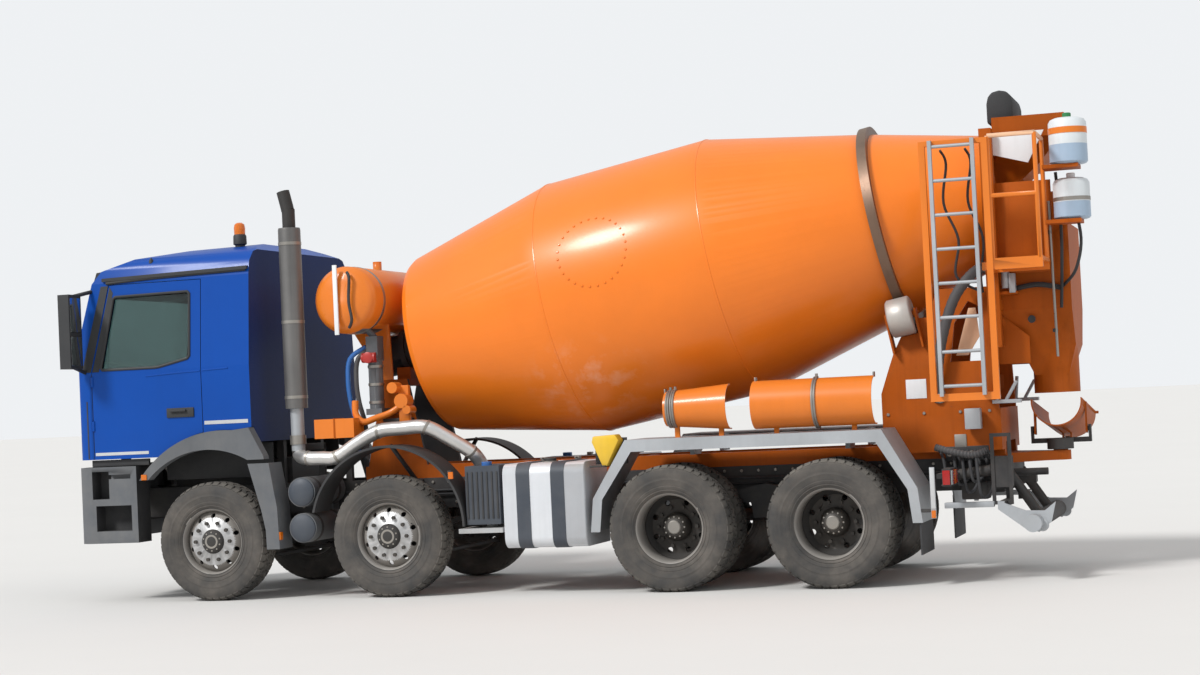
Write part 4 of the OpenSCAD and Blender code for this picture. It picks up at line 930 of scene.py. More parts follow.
@dataclass
class Tyre:
    """One tyre or a pair on one wheel, with grooves and tread blocks."""

    node: str
    body: str
    x: float
    middles: tuple[float, ...]
    half_width: float = 0.15
    pitches: int = 46
    wall: tuple[Point, ...] = (
        (0.74, 0.287), (0.86, 0.307), (0.91, 0.318), (0.885, 0.324), (0.93, 0.333), (0.955, 0.352),
        (0.94, 0.356), (0.975, 0.375), (0.985, 0.4), (0.998, 0.404), (0.998, 0.41), (0.985, 0.414),
        (0.985, 0.43), (0.995, 0.436), (0.97, 0.462), (0.93, 0.487), (0.875, 0.503), (0.8, 0.511),
        (0.7, 0.515), (0.62, 0.515), (0.3, 0.516))
    rows: tuple[tuple[float, ...], ...] = (
        (0.006, 0.038, 0.53, 0.53, 0.86, 0.2, 0.0), (0.048, 0.082, 0.53, 0.529, 0.84, 0.2, 0.5),
        (0.092, 0.134, 0.5285, 0.507, 0.8, 0.0, 0.25))

    def carcass(self, made: Build, y: float) -> None:
        """Turns the casing from the shares of its half width and the radii in wall.

        Args:
            made: The piece.
            y: Middle of the tyre.
        """
        half = [(self.half_width * share, r) for share, r in self.wall]
        loop = [(-a, r) for a, r in half] + half[::-1]
        made.lathe(loop, (self.x, y, TYRE_R), OUT, SIDEWALL, 96, closed=True)

    def block(self, y0: float, y1: float, r0: float, r1: float, share: float, skew: float = 0.0) -> Build:
        """One tread block that spans a share of a pitch.

        Args:
            y0: Inner edge across the tyre.
            y1: Outer edge across the tyre.
            r0: Radius at the inner edge.
            r1: Radius at the outer edge.
            share: Share of the pitch that it fills.
            skew: Turn of the outer edge against the inner one, in pitches.

        Returns:
            The block, standing on the ring's first place.
        """
        pitch = 2 * math.pi / self.pitches
        verts = []
        for depth, width in ((-0.02, 1.0), (0.0, 0.93)):
            for y, r, s in ((y0, r0, 0.0), (y1, r1, skew)):
                for k in (-0.5, 0.5):
                    a = pitch * (share * k * width + s)
                    verts.append(((r + depth) * math.sin(a), y, (r + depth) * math.cos(a)))
        faces = ((0, 1, 3, 2), (4, 6, 7, 5), (0, 4, 5, 1), (2, 3, 7, 6), (0, 2, 6, 4), (1, 5, 7, 3))
        part = Build()
        part.solid(verts, faces, TREAD)
        return part

    def blocks(self, made: Build, y: float) -> None:
        """Adds the rows of tread blocks.

        Args:
            made: The piece.
            y: Middle of the tyre.
        """
        step = 2 * math.pi / self.pitches
        for sign in SIDES:
            for y0, y1, r0, r1, share, skew, shift in self.rows:
                part = self.block(sign * y0, sign * y1, r0, r1, share, skew)
                mesh = Repeater.run(part, Layout.RING, self.pitches, (0, step, 0), TREAD)
                turn = Matrix.Rotation(shift * step * sign, 4, "Y")
                made.take(mesh, TREAD, Matrix.Translation((self.x, y, TYRE_R)) @ turn)

    def build(self) -> None:
        """Makes the tyres of one wheel."""
        made = Build(f"{self.node}_tread")
        for y in self.middles:
            self.carcass(made, y)
            self.blocks(made, y)
        made.done(self.body, self.node)


@dataclass
class Wheels:
    """All tyres, rims and hub details."""

    front_half: float = 1.035
    rear_half: float = 0.91
    twin_gap: float = 0.35

    def radius(self, p: Vector, x: float) -> float:
        """Distance from the axis of a wheel at x."""
        return (Vector((p.x, 0, p.z)) - Vector((x, 0, TYRE_R))).length

    def steered(self, number: int, x: float, side: int) -> None:
        """One steered wheel.

        Args:
            number: Number of the axle.
            x: Place of the axle.
            side: -1 for left, 1 for right.
        """
        name = f"{number}_{SIDE_NAMES[side]}"
        middle = self.front_half
        Tyre(f"tyre_{name}", f"wheel_{name}", x, (side * middle,)).build()

        def reach(p: Vector) -> float:
            """Distance outwards from the tyre's middle."""
            return (p.y - side * middle) * side

        flange = Zone(RIM_ALLOY, lambda p: 0.11 < self.radius(p, x) < 0.213 and reach(p) > 0.05)
        nut = Zone(DARK_STEEL, lambda p: abs(self.radius(p, x) - 0.168) < 0.02 and reach(p) > 0.1062)
        hub = Zone(RIM_DARK, lambda p: self.radius(p, x) < 0.112 and reach(p) > 0.02)
        inner = Zone(BLACK, lambda p: reach(p) < -0.02 and self.radius(p, x) < 0.25)
        # Outside the flange, the recessed dish takes the darker lip grey as painted shade.
        Refined(f"rim_{name}", f"wheel_{name}", RIM_LIP_AND_SHADE, (flange, hub, nut, inner)).build()
        made = Build(f"hub_cover_{name}", x, side)
        made.lathe([(0, 0.062), (0.003, 0.062), (0.003, 0.046), (0.0008, 0.044), (0.0008, 0.0)],
                   (0, middle + 0.138, TYRE_R), OUT, STEEL, 32)
        made.bolts((0, middle + 0.131, TYRE_R), OUT, 0.082, 10, STEEL, 0.008, 0.007)
        made.bar((0.2, middle + 0.055, TYRE_R + 0.1), (0.212, middle + 0.1, TYRE_R + 0.106), 0.005, RUBBER, 8)
        made.done(f"wheel_{name}")

    def driven(self, number: int, x: float, side: int) -> None:
        """One pair of twin wheels.

        Args:
            number: Number of the axle.
            x: Place of the axle.
            side: -1 for left, 1 for right.
        """
        name = f"{number}_{SIDE_NAMES[side]}"
        y = side * self.rear_half
        middles = (y - self.twin_gap / 2, y + self.twin_gap / 2)
        Tyre(f"tyres_{name}", f"wheels_{name}", x, middles).build()
        lip = Zone(RIM_LIP_AND_SHADE, lambda p: self.radius(p, x) > 0.272)
        hub = Zone(DARK_STEEL, lambda p: self.radius(p, x) < 0.19 and (p.y - y) * side > 0.013)
        Refined(f"rims_{name}", f"wheels_{name}", RIM_DARK, (lip, hub)).build()
        made = Build(f"hub_end_{name}", x, side)
        made.lathe([(0, 0.058), (0.006, 0.058), (0.012, 0.05), (0.012, 0.0)],
                   (0, self.rear_half + 0.149, TYRE_R), OUT, STEEL, 24)
        made.bolts((0, self.rear_half + 0.1195, TYRE_R), OUT, 0.086, 12, STEEL, 0.009, 0.02)
        made.done(f"wheels_{name}")

    def build(self) -> None:
        """Makes the wheels of all axles."""
        for side in SIDES:
            for number, x in enumerate(WHEEL_X, 1):
                wheel = self.steered if number < 3 else self.driven
                wheel(number, x, side)
                LOG.info("axle %d %s done", number, SIDE_NAMES[side])


@dataclass
class Cab:
    """Cab shell, doors, glass, trim and seats, in distances behind the first axle."""

    front: float = -1.405
    rear: float = 0.43
    lining: float = 0.03
    beacon_at: Point = (0.12, -0.6)
    seat_rows: tuple[tuple[float, str], ...] = ((-0.62, "seat_left"), (0.62, "seat_right"))
    wiper_rows: tuple[float, ...] = (-0.75, -0.1, 0.55)
    mirror_heights: tuple[Point, ...] = ((2.16, 2.42), (2.46, 2.77))
    window: tuple[Point, ...] = ((-1.06, 2.11), (-0.93, 2.77), (-0.16, 2.78), (-0.16, 2.18), (-0.48, 2.11))
    windscreen: tuple[Point, ...] = ((-1.0, 2.11), (-0.94, 2.83), (0.94, 2.83), (1.0, 2.11))
    pillar: tuple[Point, ...] = ((-1.143, 2.095), (-1.075, 2.095), (-0.935, 2.81), (-0.97, 2.865))
    front_post: tuple[Point, ...] = ((-1.25, 2.095), (-1.157, 2.095), (-0.985, 2.875), (-1.06, 2.875))
    gutter: tuple[Point, ...] = ((-1.0, 2.9), (-0.5, 2.925), (0.4, 2.945))
    door_crease: tuple[Point, ...] = ((-0.6, 2.035), (-0.3, 2.05), (-0.06, 2.058))
    rear_crease: tuple[Point, ...] = ((-0.035, 2.06), (0.1, 2.066), (0.22, 2.07))
    section: tuple[Point, ...] = (
        (1.3, 1.15), (2.09, 1.15), (2.9, 1.08), (3.02, 1.055), (3.11, 0.97), (3.17, 0.73), (3.21, 0.45))

    def side_y(self, z: float) -> float:
        """Half width of the cab's outer surface at a height.

        Args:
            z: The height.

        Returns:
            The half width.
        """
        for (z0, y0), (z1, y1) in zip(self.section, self.section[1:]):
            if z <= z1:
                return y0 + (y1 - y0) * max(0.0, (z - z0) / (z1 - z0))
        return self.section[-1][1]

    def on_side(self, x: float, z: float, out: float) -> Point:
        """A point of the cab's side, moved outwards by a distance."""
        return (x, self.side_y(z) + out, z)

    def inside(self, p: Vector) -> bool:
        """True for places within the side walls."""
        return abs(p.y) < self.side_y(p.z) - self.lining

    def shell(self) -> None:
        """Dresses the shell, doors and glass."""
        front, rear = at(self.front), at(self.rear)
        lug = Zone(BLACK, lambda p: p.z < 1.37 and abs(p.y) < 0.6)
        under = Zone(DARK_TRIM, lambda p: p.z < 1.47 and abs(p.y) < 1.09 and front + 0.06 < p.x < rear - 0.06)
        room = Zone(DARK_TRIM, lambda p: self.inside(p) and front + 0.12 < p.x < rear - 0.03 and p.z < 3.0)
        # The back wall takes the darker blue as painted shade.
        back = Zone(SHADED_BLUE, lambda p: p.x > rear - 0.004 and abs(p.y) < self.side_y(p.z) - 0.02)
        Refined("cab_shell", "cab", BLUE, (lug, under, room, back)).build()
        for name in SIDE_NAMES.values():
            Refined(f"door_{name}", f"door_{name}", BLUE, (Zone(DARK_TRIM, self.inside),)).build()
            Refined(f"door_glass_{name}", f"door_{name}", GLASS).build()
        Refined("windscreen", "cab", GLASS).build()

    def trim(self) -> None:
        """Dresses the trim and adds the beacon's dome and mirror glass."""
        zones = (Zone(DARK_TRIM, lambda p: p.z > 2.0),
                 Zone(DARK_TRIM, lambda p: p.x < at(self.front) + 0.1 and abs(p.y) < 0.73))
        x, y = self.beacon_at

        def beacon(p: Vector) -> bool:
            """True for corners of the plain beacon."""
            return (p - Vector((at(x), y, p.z))).length < 0.09 and p.z > 3.1

        Refined("cab_trim", "cab", GREY_PLASTIC, zones, leave_out=beacon).build()
        made = Build("beacon", AXLE_1)
        made.lathe([(3.17, 0.045), (3.2, 0.045), (3.21, 0.062), (3.285, 0.06), (3.3, 0.05)],
                   (x, y, 0), UP, DARK_TRIM, 32)
        made.lathe([(3.29, 0.05), (3.36, 0.052), (3.392, 0.045), (3.407, 0.026), (3.41, 0.0)],
                   (x, y, 0), UP, AMBER_LENS, 32)
        made.done("cab")
        made = Build("mirror_faces", AXLE_1)
        for _ in made.sides():
            for low, high in self.mirror_heights:
                made.box((-1.1795, 1.26, low), (-1.1765, 1.43, high), MIRROR, 0.001)
            made.box((-1.2, 1.245, 2.425), (-1.176, 1.445, 2.455), DARK_TRIM)
        made.done("cab")

    def skin(self, made: Build, outline: Sequence[Point], finish: Surface, out: float = 0.0025) -> None:
        """Lays a thin panel on the side of the cab, within one of its flat faces.

        Args:
            made: The piece.
            outline: Corners as distance behind the first axle and height.
            finish: The surface.
            out: Thickness of the panel.
        """
        verts = [made.spot(self.on_side(x, z, o)) for o in (-0.001, out) for x, z in outline]
        made.solid(verts, drawn_faces(len(outline)), finish)

    def along(self, made: Build, line: Sequence[Point], out: float, radius: float, finish: Surface,
              curve: int) -> None:
        """Runs a round bead along the side.

        Args:
            made: The piece.
            line: Points as distance behind the first axle and height.
            out: How far its middle stands out.
            radius: Radius of the bead.
            finish: The surface.
            curve: Steps between two points.
        """
        made.tube([self.on_side(x, z, out) for x, z in line], radius, finish, 10, curve)

    def seal(self, made: Build, corners: Sequence[Vector], radius: float) -> None:
        """Runs a rubber seal round a window.

        Args:
            made: The piece.
            corners: Corners of the window.
            radius: Radius of the seal.
        """
        loop = []
        for i, p in enumerate(corners):
            before, after = corners[i - 1], corners[(i + 1) % len(corners)]
            for other, share in ((before, 0.07), (before, 0.02), (after, 0.02), (after, 0.07)):
                loop.append(p + (other - p).normalized() * share)
        made.tube(loop + loop[:1], radius, DARK_TRIM, 8, 1)

    def door_fittings(self, side: int) -> None:
        """Adds one door's window seal, handle, strip, post cover and crease.

        Args:
            side: -1 for left, 1 for right.
        """
        name = SIDE_NAMES[side]
        made = Build(f"door_fittings_{name}", AXLE_1, side)
        self.seal(made, [Vector(self.on_side(x, z, 0.0)) for x, z in self.window], 0.013)
        made.box(self.on_side(-0.4, 1.65, -0.005), self.on_side(-0.13, 1.735, 0.012), DARK_TRIM, 0.006)
        made.box(self.on_side(-0.36, 1.7, 0.01), self.on_side(-0.2, 1.72, 0.034), DARK_TRIM, 0.008)
        self.skin(made, oblong(-1.14, -0.6, 1.335, 1.362), REFLECTIVE)
        self.skin(made, self.pillar, DARK_TRIM)
        self.along(made, self.door_crease, -0.003, 0.009, BLUE, 4)
        made.done(f"door_{name}")

    def wiper(self, made: Build, y: float) -> None:
        """Parks one wiper along the foot of the windscreen.

        Args:
            made: The piece.
            y: Place of its foot.
        """
        foot = Vector((self.front + 0.03, y, 2.09))
        tip = Vector((self.front + 0.035, y + 0.34, 2.13))
        made.tube([foot, foot + (tip - foot) * 0.5 + Vector((-0.02, 0, 0)), tip], 0.008, DARK_TRIM, 8, 3)
        made.bar(tip + Vector((0.0, -0.3, -0.012)), tip + Vector((0.0, 0.22, 0.01)), 0.009, DARK_TRIM, 8)

    def seams(self) -> None:
        """Adds the gutter, strips, posts, markers, windscreen seal, wipers and aerial."""
        made = Build("cab_seams", AXLE_1)
        for _ in made.sides():
            self.along(made, self.gutter, 0.004, 0.017, DARK_TRIM, 3)
            self.skin(made, oblong(-0.03, 0.4, 1.575, 1.607), REFLECTIVE)
            self.skin(made, oblong(-1.216, -1.204, 1.31, 1.83), RUBBER, 0.0015)
            self.skin(made, self.front_post, DARK_TRIM)
            self.along(made, self.rear_crease, -0.003, 0.009, BLUE, 4)
            made.box((-0.655, 1.2, 1.1), (-0.6, 1.214, 1.15), AMBER_LENS, 0.004)
        corners = [Vector((self.front + 0.04 + (z - 2.08) * 0.246, y, z)) for y, z in self.windscreen]
        self.seal(made, corners, 0.014)
        for y in self.wiper_rows:
            self.wiper(made, y)
        made.lathe([(0.0, 0.022), (0.03, 0.018), (0.05, 0.006), (0.052, 0.0)],
                   (-0.58, -1.0, 3.06), UP, DARK_TRIM, 16)
        made.done("cab")

    def cushion(self, half: Point) -> bpy.types.Mesh:
        """A crowned cushion with sewn channels across it.

        Args:
            half: Half of its size along each axis.

        Returns:
            The mesh.
        """
        part = bmesh.new()
        bmesh.ops.create_uvsphere(part, u_segments=40, v_segments=24, radius=1.0)
        thin = min(range(3), key=lambda k: half[k])
        wide = 1 if thin != 1 else 0
        for v in part.verts:
            p = [math.copysign(abs(c) ** 0.42, c) * h for c, h in zip(v.co, half)]
            if abs(v.co[thin]) > 0.5:
                p[thin] *= 1.0 - 0.12 * (math.cos(p[wide] / half[wide] * 9.0) > 0.93)
            v.co = p
        return as_mesh(part)

    def seat(self, y: float, name: str) -> None:
        """One seat with crowned cushions.

        Args:
            y: Middle of the seat.
            name: Name of the piece.
        """
        made = Build(name)
        turned = Matrix.Rotation(math.radians(9), 4, "Y")
        parts = (((at(-0.3), y, 1.8), (0.25, 0.24, 0.075), Matrix.Identity(4)),
                 ((at(0.06), y, 2.14), (0.07, 0.23, 0.33), turned),
                 ((at(0.105), y, 2.55), (0.05, 0.13, 0.09), turned))
        for centre, half, turn in parts:
            made.take(self.cushion(half), SEAT, Matrix.Translation(centre) @ turn)
        piece = made.done("cab", "cab_interior")

    def interior(self) -> None:
        """Seats, dashboard and wheel seen through the glass."""
        def is_seat(p: Vector) -> bool:
            """True for corners of the plain seat blocks."""
            return p.x > at(-0.57) and p.z < 2.56

        Refined("cab_interior", "cab", DARK_TRIM, leave_out=is_seat).build()
        for y, name in self.seat_rows:
            self.seat(y, name)
        made = Build("seat_bases", AXLE_1)
        for y, _ in self.seat_rows:
            made.box((-0.5, y - 0.2, 1.461), (-0.1, y + 0.2, 1.73), DARK_TRIM, 0.02)
        made.done("cab")

    def build(self) -> None:
        """Makes the whole cab."""
        self.shell()
        self.trim()
        for side in SIDES:
            self.door_fittings(side)
        self.seams()
        self.interior()


@dataclass
class Drum:
    """Drum shell, seams, hatch, blades and rollers."""

    stations: tuple[float, ...] = (0.045, 1.418, 2.911, 4.291, 5.3)
    radii: tuple[float, ...] = (0.817, 1.143, 1.143, 0.809, 0.52)
    seam_angle: float = math.radians(10)
    hatch_along: float = 1.94
    hatch_angle: float = 0.29
    hatch_r: float = 0.31
    hatch_rivets: int = 28
    blade_start: float = 3.3
    blade_length: float = 1.96
    blade_turns: float = 1.6
    blade_steps: int = 90

    def point(self, along: float, radius: float, angle: float) -> Vector:
        """A point by its place along the axis, radius and angle from the left side upwards.

        Args:
            along: Place along the axis.
            radius: Distance from the axis.
            angle: Angle round the axis.

        Returns:
            The point.
        """
        left, over = Vector((0, -1, 0)), Vector((-DRUM_AXIS.z, 0, DRUM_AXIS.x))
        side = left * math.cos(angle) + over * math.sin(angle)
        return DRUM_START + DRUM_AXIS * along + side * radius

    def radius_at(self, along: float) -> float:
        """Radius of the drum's outer surface.

        Args:
            along: Place along the axis.

        Returns:
            The radius.
        """
        pairs = list(zip(self.stations, self.radii))
        for (a0, r0), (a1, r1) in zip(pairs, pairs[1:]):
            if along <= a1:
                return r0 + (r1 - r0) * (along - a0) / (a1 - a0)
        return self.radii[-1]

    def build(self) -> None:
        """Makes the drum's pieces."""
        Refined("drum", "drum", DRUM_ORANGE, sharp=self.seam_angle).build()
        Refined("track_ring", "drum", RING_STEEL).build()
        for side in SIDE_NAMES.values():
            Refined(f"roller_{side}", f"roller_{side}", ROLLER_STEEL).build()
        self.fittings()
        self.blades()

    def fittings(self) -> None:
        """Adds weld seams, the mouth's rim and the hatch's rivets."""
        made = Build("drum_fittings")
        for along in self.stations[1:3]:
            r = self.radius_at(along)
            made.lathe([(-0.01, r - 0.004), (-0.004, r + 0.003), (0.004, r + 0.003), (0.01, r - 0.004)],
                       DRUM_START + DRUM_AXIS * along, DRUM_AXIS, DRUM_ORANGE, 128, closed=True)
        made.lathe([(-0.05, 0.528), (-0.05, 0.542), (0.002, 0.53), (0.002, 0.505), (-0.01, 0.505)],
                   DRUM_START + DRUM_AXIS * 5.298, DRUM_AXIS, WORN_AND_SHADED_ORANGE, 96, closed=True)
        rivet = Build()
        rivet.lathe([(-0.01, 0.011), (0.004, 0.011), (0.009, 0.006), (0.009, 0.0)],
                    (0, 0, 0), UP, DRUM_ORANGE, 8)
        mesh = as_mesh(rivet.bm)
        for i in range(self.hatch_rivets):
            turn = 2 * math.pi * i / self.hatch_rivets
            along = self.hatch_along + self.hatch_r * math.cos(turn)
            lift = self.hatch_angle + self.hatch_r * math.sin(turn) / self.radii[1]
            normal = self.point(along, 1.0, lift) - self.point(along, 0.0, lift)
            place = Matrix.Translation(self.point(along, self.radius_at(along), lift))
            made.take(mesh.copy(), DRUM_ORANGE, place @ turned_to(normal).to_4x4())
        bpy.data.meshes.remove(mesh)
        made.done("drum")

    def blade(self, start: float) -> bpy.types.Mesh:
        """One spiral mixing blade.

        Args:
            start: Angle at which it starts.

        Returns:
            The mesh.
        """
        part = bmesh.new()
        rows = []
        for i in range(self.blade_steps + 1):
            t = i / self.blade_steps
            along = self.blade_start + t * self.blade_length
            angle = start + t * self.blade_turns * 2 * math.pi
            outer = self.radius_at(along) - 0.03
            inner = outer - 0.27 * (0.6 + 0.4 * (1 - t))
            corners = ((outer, 0.0), (inner, -0.03), (inner, -0.022), (outer, 0.008))
            rows.append([part.verts.new(self.point(along + d, r, angle)) for r, d in corners])
        skin_rings(part, rows)
        return as_mesh(part)

    def blades(self) -> None:
        """Adds the two spiral mixing blades that show in the mouth."""
        made = Build("mixing_blades")
        for start in (0.0, math.pi):
            made.take(self.blade(start), WORN_AND_SHADED_ORANGE)
        made.done("drum")


@dataclass
class Exhaust:
    """Upright stack with its shield and the wrapped pipe, in distances behind the first axle."""

    x: float = 0.785
    y: float = -0.95
    pipe_r: float = 0.061
    clamped: tuple[int, ...] = (2, 4, 6, 8, 10)
    run: tuple[Point, ...] = (
        (0.79, -0.952, 1.27), (0.84, -1.0, 1.245), (0.94, -1.08, 1.235), (1.08, -1.095, 1.23),
        (1.23, -1.1, 1.235), (1.42, -1.1, 1.345), (1.63, -1.1, 1.445), (1.85, -1.1, 1.462),
        (2.08, -1.1, 1.462), (2.26, -1.06, 1.36), (2.44, -1.0, 1.235), (2.48, -0.94, 1.17),
        (2.5, -0.9, 1.111))

    def build(self) -> None:
        """Makes the stack, shield, wrapped pipe and brackets."""
        made = Build("exhaust_dressed", AXLE_1)
        x, y = self.x, self.y
        stack = ((0.0, 1.26), (0.0, 2.4), (0.0, 3.38), (-0.005, 3.45), (-0.045, 3.62))
        made.tube([(x + lean, y, z) for lean, z in stack], 0.058, SOOT, 24, 4)
        made.bar((x, y, 1.3), (x, y, 1.68), 0.0595, DULL_ALLOY, 24)
        shield = [(1.68, 0.062), (1.68, 0.1), (3.27, 0.1), (3.29, 0.096), (3.29, 0.062)]
        made.lathe(shield, (x, y, 0), UP, STACK, 48, closed=True)
        made.box((x - 0.012, y + 0.09, 1.7), (x + 0.012, y + 0.106, 3.27), STACK)
        for z in (1.78, 2.45, 3.15):
            made.collar((x, y, z), UP, 0.014, 0.098, 0.1035, STEEL)
        made.collar((x, y, 1.4), UP, 0.04, 0.06, 0.072, STEEL, 32)
        made.tube(self.run, self.pipe_r, FOIL, 24, 5)
        for i in self.clamped:
            p, q = Vector(self.run[i]), Vector(self.run[i + 1])
            made.collar(p, q - p, 0.012, 0.058, 0.066, STEEL, 24)
        made.box((0.755, -0.88, 1.3), (0.815, -0.44, 1.36), BLACK)
        made.box((0.755, -0.48, 0.9), (0.815, -0.435, 1.36), BLACK)
        made.done("truck", "exhaust")


@dataclass
class Chassis:
    """Frame, axles, tanks, guards and lamps, in distances behind the first axle."""

    plain: tuple[str, ...] = ("engine_block", "axles", "drum_drive")
    straps: tuple[Point, ...] = ((2.93, 3.05), (3.24, 3.36))
    air_tanks: tuple[float, ...] = (0.625, 0.94)
    tank_end: tuple[Point, ...] = (
        (-0.002, 0.124), (0.012, 0.119), (0.024, 0.1), (0.033, 0.07), (0.038, 0.035), (0.04, 0.0))
    bolt_rows: tuple[Point, ...] = ((0.5, 0.96), (0.57, 0.78))
    chock: tuple[Point, ...] = (
        (3.6, 1.27), (3.61, 1.32), (3.81, 1.33), (3.84, 1.28), (3.73, 1.07), (3.69, 1.06))
    lines: tuple[tuple[float, tuple[Point, ...]], ...] = (
        (0.011, ((0.6, 0.46, 0.9), (2.4, 0.455, 0.885), (4.0, 0.46, 0.9), (6.6, 0.455, 0.89))),
        (0.009, ((0.6, 0.462, 0.86), (3.4, 0.458, 0.85), (6.6, 0.46, 0.86))))

    def build(self) -> None:
        """Makes the chassis pieces."""
        for node in self.plain:
            Refined(node, "truck", BLACK).build()
        for number in (1, 2):
            for side in SIDE_NAMES.values():
                Refined(f"knuckle_{number}_{side}", f"knuckle_{number}_{side}", BLACK).build()
            Refined(f"tie_rod_{number}", f"tie_rod_{number}", BLACK).build()
        flap = Zone(GREY_PLASTIC, lambda p: at(0.405) < p.x < at(0.7))
        Refined("front_mudguards", "truck", DARK_TRIM, (flap,)).build()
        # The front pedestal's lower sides are painted black as painted shade under the drum.
        pedestal = Zone(BLACK, lambda p: at(1.1) < p.x < at(2.1) and p.z < 1.75 and abs(p.y) > 0.3)
        Refined("upper_frame", "truck", WORN_AND_SHADED_ORANGE, (pedestal,)).build()
        sheet = Zone(RUBBER, lambda p: p.x > at(6.33) and p.z < 0.645)
        Refined("rear_mudguards", "truck", DULL_ALLOY, (sheet,)).build()
        self.frame()
        self.boxes()
        self.tanks()
        self.lamps()
        self.rails()
        self.markers()

    def frame(self) -> None:
        """Dresses the frame with its light guard arms and the bumper with its dark recesses."""
        arm = Zone(DULL_ALLOY, lambda p: p.x > at(6.92) and p.z < 0.665 and abs(p.y) > 0.85)
        Refined("chassis_frame", "truck", BLACK, (arm,)).build()
        recess = Zone(DARK_TRIM, lambda p: abs(p.y) < 1.117 and p.x > at(-1.24))
        Refined("bumper", "truck", GREY_PLASTIC, (recess,)).build()

    def boxes(self) -> None:
        """Air tanks, reducing agent tank and steps."""
        step = Zone(TREAD_PLATE, lambda p: p.z < 0.645 and p.x > at(2.3))
        urea = Zone(SLATE, lambda p: p.x > at(2.3) and p.z > 0.645)
        Refined("side_boxes", "truck", GREY_PLASTIC, (urea, step)).build()
        made = Build("side_box_fittings", AXLE_1)
        for side in made.sides():
            for z in self.air_tanks:
                for y in (0.62, 1.02):
                    made.collar((0.89, y, z), OUT, 0.02, 0.128, 0.134, BLACK, 40)
                made.lathe(self.tank_end, (0.89, 1.149, z), OUT, SLATE, 40)
            rib = Build("rib", AXLE_1, side)
            rib.box((2.46, 1.189, 0.66), (2.475, 1.197, 1.06), DARK_TRIM, 0.002)
            made.row(rib, 7, (0.045, 0, 0), DARK_TRIM)
            made.cap((2.62, 1.1, 1.108), UP, 0.045, 0.035, 0.005, BLUE_HOSE)
        made.done("truck")

    def tanks(self) -> None:
        """Dresses the fuel tank with its straps and adds caps and strap bolts."""
        def on_strap(p: Vector) -> bool:
            """True for places on a strap."""
            return abs(p.y) > 0.57 and any(at(a) - 0.002 < p.x < at(b) + 0.002 for a, b in self.straps)

        Refined("fuel_tank", "truck", ALLOY, (Zone(SLATE, on_strap),)).build()
        made = Build("tank_fittings", AXLE_1)
        for _ in made.sides():
            for start, end in self.straps:
                x = (start + end) / 2
                made.box((x - 0.02, 0.62, 1.12), (x + 0.02, 0.68, 1.15), STEEL, 0.003)
                made.bar((x, 0.6, 1.14), (x, 0.74, 1.14), 0.008, STEEL, 8)
            made.cap((3.15, 0.96, 1.104), UP, 0.054, 0.046, 0.006, BLACK, 28)
            made.collar((3.15, 0.96, 1.12), UP, 0.005, 0.064, 0.07, STEEL, 28)
            for z in (0.56, 0.96):
                made.tube([(2.808, y, z) for y in (1.14, 0.9, 0.66)], 0.004, ALLOY, 6, 1)
        made.done("truck")

    def lamps(self) -> None:
        """Lenses, reflectors and side markers."""
        head = Zone(CLEAR_LENS, lambda p: p.x < -4.0)
        arm = Zone(BLACK, lambda p: p.x > 0 and abs(p.y) < 0.858)
        body = Zone(DARK_TRIM, lambda p: p.x > 0 and abs(p.y) >= 0.858)
        Refined("lamps", "truck", DARK_TRIM, (head, arm, body)).build()
        made = Build("lamp_lenses", AXLE_1)
        for _ in made.sides():
            for k, finish in enumerate((RED_LENS, AMBER_LENS, RED_LENS, CLEAR_LENS)):
                y = 0.87 + k * 0.077
                made.box((6.598, y, 0.812), (6.61, y + 0.072, 0.928), finish, 0.004)
            made.box((6.535, 1.178, 0.812), (6.595, 1.188, 0.928), RED_LENS, 0.003)
            made.box((6.33, 1.235, 0.6), (6.48, 1.243, 0.63), BLACK, 0.002)
            made.box((6.44, 1.235, 0.55), (6.482, 1.244, 0.96), DULL_ALLOY, 0.002)
            made.box((6.444, 1.243, 0.63), (6.478, 1.248, 0.955), REFLECTIVE, 0.002)
            made.box((6.444, 1.243, 0.555), (6.478, 1.255, 0.615), AMBER_LENS, 0.003)
        made.done("truck")

    def rails(self) -> None:
        """Bolts and lines on the frame."""
        made = Build("frame_bolts", AXLE_1)
        for side in made.sides():
            for x, z in self.bolt_rows:
                bolt = Build("bolt", AXLE_1, side)
                bolt.lathe([(0, 0.014), (0.01, 0.014), (0.013, 0.01)], (x, 0.434, z), OUT, STEEL, 6)
                made.row(bolt, 42, (0.15, 0, 0), STEEL)
            for radius, points in self.lines:
                made.tube(points, radius, RUBBER, 8, 4)
        made.done("truck")

    def markers(self) -> None:
        """Adds side markers, dark strips, splash plates, a wheel chock and the guard arms' bosses."""
        made = Build("side_markers", AXLE_1)
        for _ in made.sides():
            made.box((0.682, 1.16, 0.53), (0.7, 1.215, 0.6), AMBER_LENS, 0.004)
            made.box((2.3, 1.2, 1.0), (2.335, 1.222, 1.08), BLACK, 0.003)
            made.box((2.31, 1.219, 1.01), (2.355, 1.232, 1.07), AMBER_LENS, 0.004)
            made.cap((7.28, 0.928, 0.455), OUT, 0.05, 0.03, 0.01, DULL_ALLOY)
            made.box((6.5, 0.86, 0.61), (6.9, 0.93, 0.655), DULL_ALLOY, 0.006)
            made.box((-1.2, 1.09, 1.236), (-0.62, 1.12, 1.294), DARK_TRIM, 0.004)
            made.prism(oblong(-0.66, 0.42, 1.08, 1.386), 0.71, 0.722, DARK_TRIM, 0.002)
        made.prism(self.chock, -1.19, -1.04, YELLOW, 0.014)
        made.box((3.58, -1.03, 1.08), (3.86, -1.0, 1.3), BLACK, 0.004)
        made.box((3.58, -1.22, 1.06), (3.72, -1.0, 1.075), BLACK, 0.004)
        made.done("truck")


